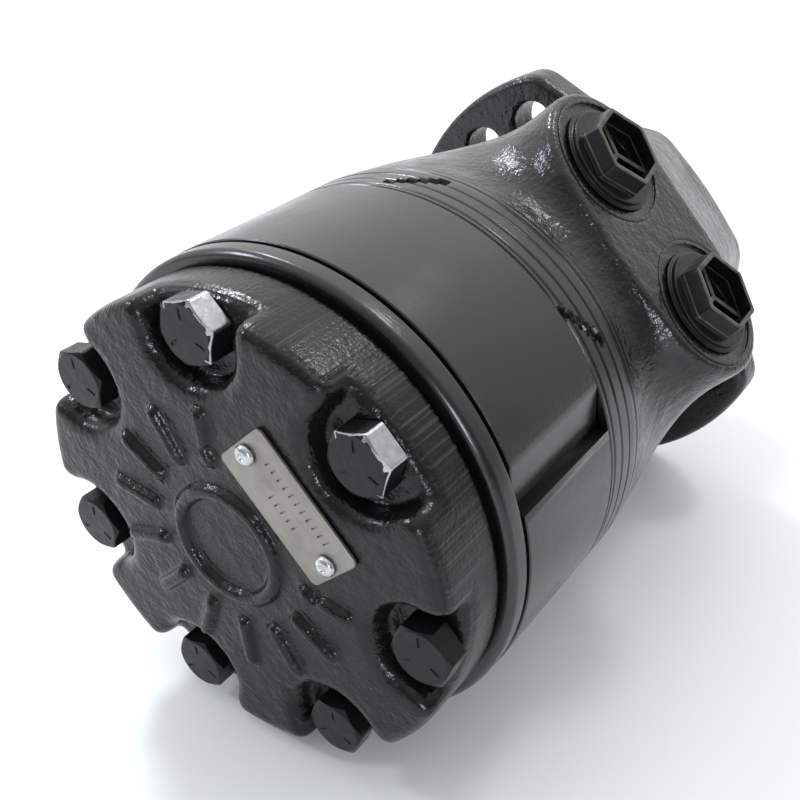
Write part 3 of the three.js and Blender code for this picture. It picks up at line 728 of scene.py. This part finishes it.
def end_cover(material):
    reach = COVER_R + 1.5
    rim_rounding = 4.0
    pocket_edge_rounding = 4.6
    pocket_floor_rounding = 2.0
    groove_width = 1.1
    grid = Grid((-reach, COVER_FACE - 2.2, -reach), (reach, COVER_BACK + 0.6, reach), 0.5)
    body = smooth_max(grid.radius - COVER_R, COVER_FACE - grid.y, rim_rounding)
    body = smooth_min(body, cover_relief(grid), 1.0)
    beyond = COVER_R + 12
    inner_end = arc((BOLT_CIRCLE_R, 0), POCKET_R, math.pi / 2, 1.5 * math.pi, 16)
    outline = [(beyond, POCKET_MOUTH), *inner_end, (beyond, -POCKET_MOUTH)]
    flat_out, flat_side = np.broadcast_arrays(grid.bolt_out, grid.bolt_side)
    pocket = polygon_distance(outline, flat_out, flat_side)
    pocket = smooth_max(pocket, grid.y - COVER_FLOOR, pocket_floor_rounding)
    body = smooth_max(body, -pocket, pocket_edge_rounding)
    body = np.maximum(body, grid.y - COVER_BACK)
    groove = np.maximum(COVER_RELIEF_R - grid.radius, np.abs(grid.y - COVER_BACK) - groove_width)
    body = np.maximum(body, -groove)
    body = np.maximum(body, -np.maximum(grid.radius - BALANCE_RECESS_R, BALANCE_RECESS_FLOOR - grid.y))
    body = np.maximum(body, -grid.bolt_holes())
    vertices, quads = grid.surface(body)
    mesh = new_mesh("end_cover_visual", vertices, quads)
    add_piece("end_cover_casting", mesh, material, ["end_cover"], sharp_angle=70)


# ---- manifold ring, stator and band ----
def bolt_holes():
    return [circle(polar(BOLT_CIRCLE_R, i * PITCH), BOLT_HOLE_R) for i in range(COUNT)]


def manifold_ring(material):
    """The ring that shows between the cover and the stator."""
    outer = BODY_R - 0.2
    bore = 9
    front_chamfer = 1.2
    back_chamfer = 0.9
    profile = softened([
        (bore, MANIFOLD_FRONT), (COVER_RELIEF_R, MANIFOLD_FRONT), (outer - front_chamfer, MANIFOLD_FRONT),
        (outer, MANIFOLD_FRONT + front_chamfer), (outer, MANIFOLD_BACK - back_chamfer),
        (outer - back_chamfer, MANIFOLD_BACK), (COVER_RELIEF_R, MANIFOLD_BACK), (bore, MANIFOLD_BACK)], 0.7)
    mesh = solid("ring", turned(profile, 256, closed=True))
    tools = [solid("hole", pulled(hole, MANIFOLD_FRONT - 1, 1)) for hole in bolt_holes()]
    mesh = combined(mesh, tools, "DIFFERENCE")
    add_piece("manifold_ring", mesh, material, ["manifold_plate"])


def stator_outline():
    """The body's circle with a flat milled across it: a steep wall at one end, running out at the other."""
    points = arc((0, 0), BODY_R, FLAT_START, FLAT_END + 2 * math.pi, 320)
    wall_lean = 0.004  # radians
    foot_x, foot_z = polar(BODY_R - FLAT_DEPTH, FLAT_END + wall_lean)
    end_x, end_z = polar(BODY_R, FLAT_START)
    steps = 12
    for i in range(steps):
        share = i / steps
        points.append((foot_x + (end_x - foot_x) * share, foot_z + (end_z - foot_z) * share))
    return points


def stator_opening():
    spread = math.acos((LAND_R ** 2 + ROLLER_CIRCLE_R ** 2 - ROLLER_POCKET_R ** 2)
                       / (2 * LAND_R * ROLLER_CIRCLE_R))
    edge_x, edge_z = polar(LAND_R, spread)
    edge = math.atan2(edge_z, edge_x - ROLLER_CIRCLE_R)
    points = []
    for i in range(COUNT):
        angle = (i + 0.5) * PITCH
        points += arc(polar(ROLLER_CIRCLE_R, angle), ROLLER_POCKET_R, angle - edge, angle + edge, 24)
        points += arc((0, 0), LAND_R, angle + spread, angle + PITCH - spread, 8)[1:-1]
    return points


def stator(material):
    chamfer = 0.3
    openings = [stator_opening(), *bolt_holes()]
    mesh = solid("stator_body", perforated(stator_outline(), openings, 0, STATOR_END, chamfer))
    add_piece("stator_ring", mesh, material, ["stator"])


def band_depth(turn, y):
    """How far the band is cut in, at an angle and a distance along the shaft.

    Fine grooves run all the way round, and two staircases of square notches cross them.
    """
    depth = np.zeros_like(turn)
    groove_depth = 0.35
    groove_half_width = 0.45
    for groove in (41.9, 45.9, 50.2, 54.8):
        share = np.clip(1 - np.abs(y - groove) / groove_half_width, 0, 1)
        depth = np.maximum(depth, groove_depth * share)
    notch_depth = 1.5
    notch_count = 6
    turn_step = math.radians(1.95)
    y_step = 1.45
    half_width = 1.45
    half_length = 1.1
    wall_steepness = 2.5
    for angle, start in ((math.radians(50), 44.6), (math.radians(-1), 41.4)):
        for i in range(notch_count):
            across = np.abs(turn - angle + i * turn_step) * BODY_R
            along = np.abs(y - start - i * y_step)
            square = np.maximum(across - half_width, along - half_length)
            depth = np.maximum(depth, notch_depth * np.clip(0.5 - square * wall_steepness, 0, 1))
    return depth


def housing_band(material):
    """The turned band that meets the stator, sampled finely enough to carry its grooves and notches."""
    segments = 900
    row_spacing = 0.28
    taper_start = 53
    taper = 0.11
    inner = WEAR_PLATE_R + 0.3
    start = STATOR_END + 0.3
    rows = np.arange(start, BAND_END + 0.1, row_spacing)
    radii = BODY_R - np.clip((rows - taper_start) * taper, 0, None)
    radii[0] -= 0.35
    radii[-1] -= 0.5
    profile = [(inner, start), *zip(radii, rows), (inner, rows[-1])]
    vertices, faces = turned(profile, segments, closed=True)
    turn = np.arctan2(vertices[:, 2], vertices[:, 0])
    outside = np.hypot(vertices[:, 0], vertices[:, 2]) > BODY_R - 2
    cut = np.where(outside, band_depth(turn, vertices[:, 1]), 0)
    scale = 1 - cut / BODY_R
    vertices[:, 0] *= scale
    vertices[:, 2] *= scale
    mesh = solid("band", (vertices, faces))
    add_piece("housing_band", mesh, material, ["housing"], sharp_angle=32)


# ---- housing casting ----
def flange_outline():
    points = []
    corner_out = EAR_R - EAR_CORNER_R
    tangent = EAR_HALF_ANGLE + math.acos((WAIST_R - EAR_CORNER_R) / corner_out)
    for turn in (math.pi / 2, 1.5 * math.pi):
        first = turn - EAR_HALF_ANGLE
        last = turn + EAR_HALF_ANGLE
        points += arc(polar(corner_out, first), EAR_CORNER_R, turn - tangent, first, 12)
        points += arc((0, 0), EAR_R, first, last, 24)[1:-1]
        points += arc(polar(corner_out, last), EAR_CORNER_R, last, turn + tangent, 12)
        points += arc((0, 0), WAIST_R, turn + tangent, turn + math.pi - tangent, 16)
    return points


def body_field(grid):
    """The round body that narrows from the band to the neck."""
    start = BAND_END - 0.5
    end = FLANGE_FRONT + 1
    return grid.revolved([
        (0, start), (63.0, start), (62.7, 60), (61.6, 70), (60.0, 80), (57.6, 90), (53.6, 99), (48.0, 107),
        (NECK_R + 1, 114), (NECK_R, 120), (NECK_R, 138), (NECK_R + 3, end), (0, end)])


def boss_field(grid):
    """The port boss: a long round-ended block, wider towards its foot."""
    draft = 0.045 * (PORT_FACE - grid.x)
    beyond_port = np.clip(np.abs(grid.z) - PORT_HALF_SPACING, 0, None)
    stadium = np.hypot(grid.y - PORT_Y, beyond_port) - BOSS_R - draft
    topped = smooth_max(stadium, grid.x - PORT_FACE, 2.6)
    return smooth_max(topped, 22 - grid.x, 1.0)


def shoulder_field(grid):
    """The back of the boss: level with the ports at first, then sloping down to the flange."""
    level = 66.6
    slope_start = 109
    fall = 0.317
    half_width = 20
    slope = grid.x - level + fall * np.clip(grid.y - slope_start, 0, None)
    side = np.abs(grid.z) - half_width - 0.35 * (66 - grid.x)
    shoulder = smooth_max(smooth_max(slope, side, 8.0), SHOULDER_START - grid.y, 1.0)
    return smooth_max(smooth_max(shoulder, grid.y - SHOULDER_END, 2.0), 20 - grid.x, 1.0)


def housing_field(grid):
    flange = grid.pulled_along_y(flange_outline(), FLANGE_FRONT, FLANGE_BACK, 3.2)
    casting = smooth_min(boss_field(grid), shoulder_field(grid), 3.0)
    casting = smooth_min(body_field(grid), casting, 13.0)
    casting = smooth_min(casting, flange, 9.0)
    return smooth_max(casting, grid.x - PORT_FACE, 0.6)


def housing_openings(grid):
    """Everything that is cut out of the casting, as one distance that is negative inside the cuts."""
    wide = WEAR_PLATE_R - 3
    wide_end = 56.9
    bore = grid.revolved([
        (0, 50), (wide, 50), (wide, wide_end), (BORE_R, wide_end), (BORE_R, BEARING_STEP),
        (BEARING_R, BEARING_STEP), (BEARING_R, SEAL_BORE_START), (34.5, SEAL_BORE_START), (34.5, 170),
        (0, 170)])
    bolts = np.maximum(grid.bolt_holes(), grid.y - BOLT_END - 3)
    cuts = np.minimum(bore, bolts)
    for turn in (math.pi / 2, 1.5 * math.pi):
        for step in (-1, 0, 1):
            x, z = polar(FLANGE_HOLE_CIRCLE_R, turn + step * FLANGE_HOLE_STEP)
            before_flange = FLANGE_FRONT - 14 - grid.y
            hole = np.maximum(np.hypot(grid.x - x, grid.z - z) - FLANGE_HOLE_R, before_flange)
            cuts = np.minimum(cuts, hole)
    for side in (-1, 1):
        across = np.hypot(grid.y - PORT_Y, grid.z - side * PORT_HALF_SPACING)
        seat = np.maximum(across - SPOTFACE_R - 0.5, PORT_FACE - SEAL_SEAT_DEPTH - 0.4 - grid.x)
        port = np.maximum(across - PORT_R, PORT_FLOOR - grid.x)
        passage = np.maximum(across - PASSAGE_R, PASSAGE_END - grid.x)
        cuts = np.minimum(cuts, np.minimum(seat, np.minimum(port, passage)))
    return cuts


def housing_casting(material):
    spacing = 0.7
    cut_edge_rounding = 0.9
    grid = Grid((-70, BAND_END - 1.6, -70.5), (69, FLANGE_BACK + 1.6, 70.5), spacing)
    field = smooth_max(housing_field(grid), -housing_openings(grid), cut_edge_rounding)
    vertices, quads = grid.surface(field)
    mesh = new_mesh("housing_visual", vertices, quads)
    add_piece("housing_casting", mesh, material, ["housing"], sharp_angle=70)


def housing_pilot(material):
    """The turned pilot, with the stepped bore that holds the shaft and its seals."""
    profile = softened([
        (27, 149.2), (34.8, 149.2), (34.8, 156.6), (PILOT_R, 156.6), (PILOT_R, PILOT_END - 0.9),
        (PILOT_R - 0.9, PILOT_END), (25, PILOT_END), (24, PILOT_END - 1), (24, 150.6), (27, 149.6)], 0.3, 3)
    mesh = solid("pilot", turned(profile, 192, closed=True))
    add_piece("housing_pilot", mesh, material, ["housing"])


def port_seat(number, side, material):
    """The shallow round recess machined into the port face, with the seal seat in its middle."""
    flush = PORT_FACE + 0.02
    floor = PORT_FACE - SPOTFACE_DEPTH
    seal_floor = PORT_FACE - SEAL_SEAT_DEPTH
    below = PORT_FACE - 4
    outer = SPOTFACE_R + 1.1
    profile = softened([
        (PORT_R, below), (PORT_R, seal_floor), (SEAL_SEAT_R, seal_floor), (SEAL_SEAT_R, floor),
        (SPOTFACE_R, floor), (SPOTFACE_R, flush), (outer, flush), (outer, below)], 0.18, 3)
    centre = (PORT_Y, side * PORT_HALF_SPACING)
    mesh = solid("seat", along_x(turned(profile, 160, closed=True), centre))
    add_piece(f"port_seat_{number}", mesh, material, ["housing"])


# ---- bolts ----
def hexagon_edge_share(points, flats, reach):
    """1 at a vertical corner of a hexagonal prism about Y, falling to 0 this far along its sides."""
    away = np.hypot(points[:, 0], points[:, 2])
    fold = folded(np.arctan2(points[:, 2], points[:, 0]), SIXTH_TURN)
    outside = away > flats / 2 - 0.4
    return np.where(outside, np.clip(1 - np.abs(fold) * away / reach, 0, 1), 0)


def bolt_mesh(name, spin, centre):
    """A hexagonal bolt: the cone that trims the head's corners leaves curved edges on its six sides.

    The edge attribute says how worn a point may be at the head's edges, and adds a painted highlight over
    the flats and edges that face the same way as the ports, up towards the overhead light.
    """
    segments = 240
    angles = np.linspace(0, 2 * math.pi, segments, endpoint=False)
    hexagon = hexagon_radius(BOLT_HEAD_FLATS, angles)
    crown = BOLT_HEAD_FLATS * 0.475
    shoulder_y = BOLT_HEAD_TOP + (hexagon - crown) * math.tan(math.radians(30))
    axis_r = 0.02
    end_chamfer = 1.5
    rings = [(radius, BOLT_HEAD_TOP) for radius in [axis_r, *np.arange(0.6, crown - 0.1, 0.4)]]
    for share in (0.0, 0.04, 0.5, 0.96):
        y = BOLT_HEAD_TOP + (shoulder_y - BOLT_HEAD_TOP) * share
        rings.append((crown + (hexagon - crown) * share, y))
    for share in (0.02, 0.08, 0.25, 0.5, 0.75, 0.97):
        rings.append((hexagon, shoulder_y + (BOLT_HEAD_FOOT - shoulder_y) * share))
    rings += [
        (hexagon - 0.15, BOLT_HEAD_FOOT), (BOLT_R, BOLT_HEAD_FOOT), (BOLT_R, BOLT_END - end_chamfer),
        (BOLT_R - end_chamfer, BOLT_END), (axis_r, BOLT_END)]
    points = np.concatenate([
        np.column_stack([r * np.cos(angles), np.broadcast_to(y, segments), r * np.sin(angles)])
        for r, y in rings])
    turn = np.tile(angles, len(rings))
    away = np.hypot(points[:, 0], points[:, 2])
    on_top = (points[:, 1] < BOLT_HEAD_TOP + 0.01) & (away < crown - 0.6)
    mark_depth = 0.3
    mark_half_width = 0.35
    first_mark = 0.4
    for mark in range(3):
        mark_turn = turn - mark * 2 * math.pi / 3 - first_mark
        side = away * np.sin(mark_turn)
        ahead = away * np.cos(mark_turn)
        slot = on_top & (np.abs(side) < mark_half_width) & (ahead > 3.0) & (ahead < 5.6)
        points[:, 1] = np.where(slot, BOLT_HEAD_TOP + mark_depth, points[:, 1])
    edge = hexagon_edge_share(points, BOLT_HEAD_FLATS, 0.9)
    rim = np.clip(1 - np.abs(points[:, 1] - np.tile(shoulder_y, len(rings))) / 0.5, 0, 1)
    outer = away > crown - 0.2
    edge = np.maximum(edge, np.where(outer & (points[:, 1] < BOLT_HEAD_FOOT - 2), rim, 0))
    # Painted highlight mixed with wear: flats and edges facing the ports face up towards the overhead light,
    # so they are made bare bright steel.
    half_side = SIXTH_TURN / 2
    flat_middle = np.round((turn - half_side) / SIXTH_TURN) * SIXTH_TURN + half_side
    towards_ports = np.cos(flat_middle + spin)
    on_side = (points[:, 1] > BOLT_HEAD_TOP + 0.2) & (points[:, 1] < BOLT_HEAD_FOOT + 0.1) & outer
    rubbed_and_sheen = np.where(on_side, np.clip((towards_ports - 0.6) / 0.3, 0, 1), 0)
    edge = np.maximum(edge * (0.4 + 0.6 * np.clip(towards_ports, 0, 1)), rubbed_and_sheen * 0.85)
    x, z = rotated(points[:, 0], points[:, 2], spin)
    points[:, 0] = x + centre[0]
    points[:, 2] = z + centre[1]
    mesh = new_mesh(name, points, capped_rings(len(rings), segments))
    attribute = mesh.attributes.new("edge", "FLOAT", "POINT")
    attribute.data.foreach_set("value", edge.astype(np.float32))
    return cleaned(mesh, merge=False)


def cover_bolts():
    # Per bolt: how much bare steel shows, partly wear and partly a painted highlight on the upward flats,
    # then the head's turn in degrees.
    wear_sheen_and_spin = [(0.3, 30), (0.34, 33), (-0.08, 30), (-0.14, 20), (-0.14, 30), (-0.14, 25), (-0.1, 26)]
    for i, (wear_and_sheen, spin) in enumerate(wear_sheen_and_spin):
        name = f"cover_bolt_{i + 1}"
        mesh = bolt_mesh(name, math.radians(spin), polar(BOLT_CIRCLE_R, i * PITCH))
        material = bolt_paint(f"bolt_paint_{i + 1}", wear_and_sheen)
        add_piece(f"{name}_hex", mesh, material, [name], sharp_angle=25)


# ---- nameplate and drive screws ----
def rounded_rectangle(centre, width, length, radius):
    points = []
    for quarter, (sx, sz) in enumerate(((1, 1), (-1, 1), (-1, -1), (1, -1))):
        corner = (centre[0] + sx * (width / 2 - radius), centre[1] + sz * (length / 2 - radius))
        points += arc(corner, radius, quarter * math.pi / 2, (quarter + 1) * math.pi / 2, 8)
    return points


def nameplate(material):
    """A blank plate: two rows of plain punched dashes stand for what is stamped on it."""
    outline = rounded_rectangle((PLATE_X, 0), PLATE_WIDTH, PLATE_LENGTH, 1.6)
    mesh = bevelled(solid("plate", pulled(outline, PLATE_FACE, PLATE_BACK)), 0.18, segments=3)
    tools = []
    for side in (-1, 1):
        hole = circle((PLATE_X, side * SCREW_HALF_SPACING), SCREW_HOLE_R)
        tools.append(solid("hole", pulled(hole, PLATE_FACE - 1, PLATE_BACK + 1)))
    dash_length = 2.2
    dash_half_width = 0.22
    dash_spacing = 2.05
    dash_depth = 0.35
    for row_x, count in ((4.2, 11), (-1.6, 5)):
        for i in range(count):
            z = (i - (count - 1) / 2) * dash_spacing
            low = (PLATE_X + row_x - dash_length / 2, PLATE_FACE - 0.5, z - dash_half_width)
            high = (low[0] + dash_length, PLATE_FACE + dash_depth, z + dash_half_width)
            tools.append(solid("dash", box_mesh(low, high)))
    mesh = combined(mesh, tools, "DIFFERENCE")
    add_piece("nameplate_blank", mesh, material, ["nameplate"])


def drive_screw(number, side, material):
    under = PLATE_FACE - 0.3
    profile = softened([
        (0.01, SCREW_TOP + 0.55), (0.7, SCREW_TOP + 0.5), (0.95, SCREW_TOP + 0.05), (1.5, SCREW_TOP + 0.08),
        (2.25, SCREW_TOP + 0.5), (2.6, under - 0.35), (2.55, under), (1.25, under), (1.2, COVER_FACE + 5.5),
        (0.01, COVER_FACE + 6.5)], 0.2, 3)
    vertices, faces = turned(profile, 48)
    vertices[:, 0] += PLATE_X
    vertices[:, 2] += side * SCREW_HALF_SPACING
    mesh = solid("screw", (vertices, faces))
    name = f"drive_screw_{number}"
    add_piece(f"{name}_head", mesh, material, [name], sharp_angle=50)


# ---- port plugs ----
def plug_rib(length, bottom, top, angle, centre):
    """A straight wall from the plug's axis outwards, at this angle round the axis."""
    half_thickness = 0.7
    corners = [(0, -half_thickness), (length, -half_thickness), (length, half_thickness), (0, half_thickness)]
    outline = [rotated(out, across, angle) for out, across in corners]
    return solid("rib", along_x(pulled(outline, bottom, top), centre))


def port_plug(number, side, material):
    """A moulded shipping plug: stepped collar, hollow hexagonal cup and three ribs inside it."""
    centre = (PORT_Y, side * PORT_HALF_SPACING)
    spin = PLUG_SPINS[number - 1]
    base = PORT_FACE - SPOTFACE_DEPTH + 0.3
    step = PORT_FACE + PLUG_STEP
    rim = PORT_FACE + PLUG_TOP
    wall = 2.4
    outside = [
        (0.01, base - PLUG_DEPTH, 0), (PLUG_SPIGOT_R, base - PLUG_DEPTH, 0), (PLUG_SPIGOT_R, base, 0),
        (PLUG_COLLAR_R, base, 0), (PLUG_COLLAR_R, PORT_FACE, 0), (PLUG_STEP_R, PORT_FACE + 0.1, 0),
        (PLUG_STEP_R, step, 0), (12.4, step, 0)]
    cup = [
        (PLUG_FOOT_FLATS, step, 1), (PLUG_RIM_FLATS, rim, 1), (PLUG_RIM_FLATS - wall, rim, 1),
        (PLUG_FOOT_FLATS - wall - 0.4, PORT_FACE + 0.8, 1)]
    well_floor = base - PLUG_WELL_DEPTH
    well = [(PLUG_WELL_R, PORT_FACE + 0.6, 0), (PLUG_WELL_R, well_floor, 0), (0.01, well_floor, 0)]
    profile = softened(outside + cup + well, 0.3, 3)
    mesh = solid("plug", along_x(turned(profile, 240, spin=spin), centre))
    ribs = []
    for i in range(3):
        angle = spin + math.pi / 3 + i * 2 * math.pi / 3
        ribs.append(bevelled(plug_rib(10.4, PORT_FACE + 0.2, PORT_FACE + PLUG_RIB_TOP, angle, centre), 0.2))
        ribs.append(plug_rib(8.4, well_floor - 0.5, PORT_FACE + 1, angle, centre))
    mesh = combined(mesh, ribs, "UNION")
    name = f"port_plug_{number}"
    add_piece(f"{name}_cap", mesh, material, [name], sharp_angle=35)


# ---- shaft and seals ----
def output_shaft(material):
    sleeve = [(0.01, 90), (16.6, 90), (16.6, 50), (23, 50), (24, 51), (24, 108)]
    journals = [(19.5, 108), (19.5, 149), (17.5, 150), (17.5, 160)]
    chamfer = 1.6
    output = [
        (SHAFT_R, 162), (SHAFT_R, SHAFT_END - chamfer), (SHAFT_R - chamfer, SHAFT_END), (4.2, SHAFT_END),
        (2.0, SHAFT_END - 3.2), (0.01, SHAFT_END - 4.0)]
    mesh = solid("shaft", turned(softened(sleeve + journals + output, 0.25, 3), 160))
    half = KEY_WIDTH / 2 + 0.02
    low = (SHAFT_R - KEY_SUNK - 0.02, KEY_START - 0.1, -half)
    keyway = box_mesh(low, (SHAFT_R + 5, KEY_END + 0.1, half))
    mesh = combined(mesh, [solid("keyway", keyway)], "DIFFERENCE")
    add_piece("shaft_bar", mesh, material, ["output_shaft"], body="output_shaft")


def shaft_key(material):
    half = KEY_WIDTH / 2
    box = box_mesh((SHAFT_R - KEY_SUNK, KEY_START, -half), (SHAFT_R + KEY_PROUD, KEY_END, half))
    mesh = bevelled(solid("key", box), 0.5, segments=3)
    add_piece("shaft_key_bar", mesh, material, ["shaft_key"], body="output_shaft")


def dust_seal(material):
    lip = [(16.4, 162.4), (17.9, 160.4), (23.7, 158), (23.7, 163), (20, 163.1), (16.4, 163.6)]
    mesh = solid("dust_seal_lip", turned(softened(lip, 0.3, 3), 128, closed=True))
    add_piece("dust_seal_lip", mesh, material, ["dust_seal"])


# ---- build everything ----
cast = cast_paint()
cover = cover_paint()
turned_paint = machined_paint("turned_paint", (60, 2600, 60), 0.045)
milled_paint = machined_paint("milled_paint", (420, 60, 420), 0.05)
steel = bright_steel()
plastic = plug_plastic()
seal = rubber()
end_cover(cover)
manifold_ring(turned_paint)
stator(milled_paint)
housing_band(turned_paint)
housing_casting(cast)
housing_pilot(turned_paint)
cover_bolts()
nameplate(plate_aluminium())
screw_zinc = zinc()
for number, side in ((1, -1), (2, 1)):
    port_seat(number, side, cast)
    drive_screw(number, side, screw_zinc)
    port_plug(number, side, plastic)
output_shaft(steel)
shaft_key(steel)
dust_seal(seal)

for name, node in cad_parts.items():
    is_seal = "seal" in name and name != "seal_backup_ring"
    finish = seal if is_seal else steel
    for material_slot in node.material_slots:
        material_slot.material = finish

# ---- floor, light and camera ----
FLOOR_SIZE = 16.0
bpy.ops.mesh.primitive_grid_add(x_subdivisions=8, y_subdivisions=8, size=FLOOR_SIZE)
floor = bpy.context.active_object
floor.name = "table_top"
floor.data.materials.append(table_white())


def soft_light(name, offset, size, power, colour=(1, 1, 1)):
    """A square softbox that looks at the motor from this offset, in metres."""
    data = bpy.data.lights.new(name, "AREA")
    data.shape = "SQUARE"
    data.size = size
    data.energy = power
    data.color = colour
    light = in_scene(name, data)
    light.location = ORIGIN + Vector(offset)
    light.rotation_euler = Vector(offset).to_track_quat("Z", "Y").to_euler()


def studio_world():
    """A white room, brightest overhead and behind the motor, and dim behind the camera."""
    world = bpy.data.worlds.new("studio")
    world.use_nodes = True
    nodes = world.node_tree.nodes
    links = world.node_tree.links
    coordinates = nodes.new("ShaderNodeTexCoord")
    towards = nodes.new("ShaderNodeVectorMath")
    towards.operation = "DOT_PRODUCT"
    towards.inputs[1].default_value = (-0.45, 0.5, 0.74)
    links.new(coordinates.outputs["Generated"], towards.inputs[0])
    spread = nodes.new("ShaderNodeMapRange")
    spread.inputs["From Min"].default_value = -1.0
    links.new(towards.outputs["Value"], spread.inputs["Value"])
    ramp = nodes.new("ShaderNodeValToRGB")
    ramp.color_ramp.elements.new(0.5)
    ramp.color_ramp.elements.new(0.75)
    stops = ((0, 0.14), (0.45, 0.22), (0.72, 0.6), (1, 1))
    for element, (position, level) in zip(ramp.color_ramp.elements, stops):
        element.position = position
        element.color = (level * 0.98, level, level, 1)
    links.new(spread.outputs["Result"], ramp.inputs["Fac"])
    background = nodes["Background"]
    links.new(ramp.outputs["Color"], background.inputs["Color"])
    background.inputs["Strength"].default_value = 1.6
    bpy.context.scene.world = world


studio_world()
soft_light("key_light", (-1.3, 0.65, 1.45), 0.3, 15, (0.92, 0.96, 1.0))
soft_light("top_light", (0.15, 0.75, 1.2), 0.2, 3, (0.95, 0.98, 1.0))
soft_light("front_light", (-1.3, -0.65, 0.9), 0.16, 7, (0.8, 0.9, 1.0))
soft_light("side_light", (0.75, -1.1, 0.4), 0.25, 6, (0.85, 0.92, 1.0))

CAMERA_OFFSET = Vector((134.2, -153.7, 156.4)) * MM  # from the shaft axis at the cover side of the stator
CAMERA_HEADING = math.radians(124.59)                # from +X towards +Y
CAMERA_PITCH = math.radians(-35.62)
CAMERA_ROLL = math.radians(0.92)
lens = bpy.data.cameras.new("camera")
lens.lens = 46.27
lens.sensor_width = 36
lens.shift_y = 0.0625
lens.clip_start = 0.01
camera = in_scene("camera", lens)
heading = Matrix.Rotation(CAMERA_HEADING - math.pi / 2, 4, "Z")
pitch = Matrix.Rotation(math.pi / 2 + CAMERA_PITCH, 4, "X")
roll = Matrix.Rotation(CAMERA_ROLL, 4, "Z")
camera.matrix_world = Matrix.Translation(ORIGIN + CAMERA_OFFSET) @ heading @ pitch @ roll
bpy.context.scene.camera = camera
bpy.context.scene.view_settings.view_transform = "Standard"
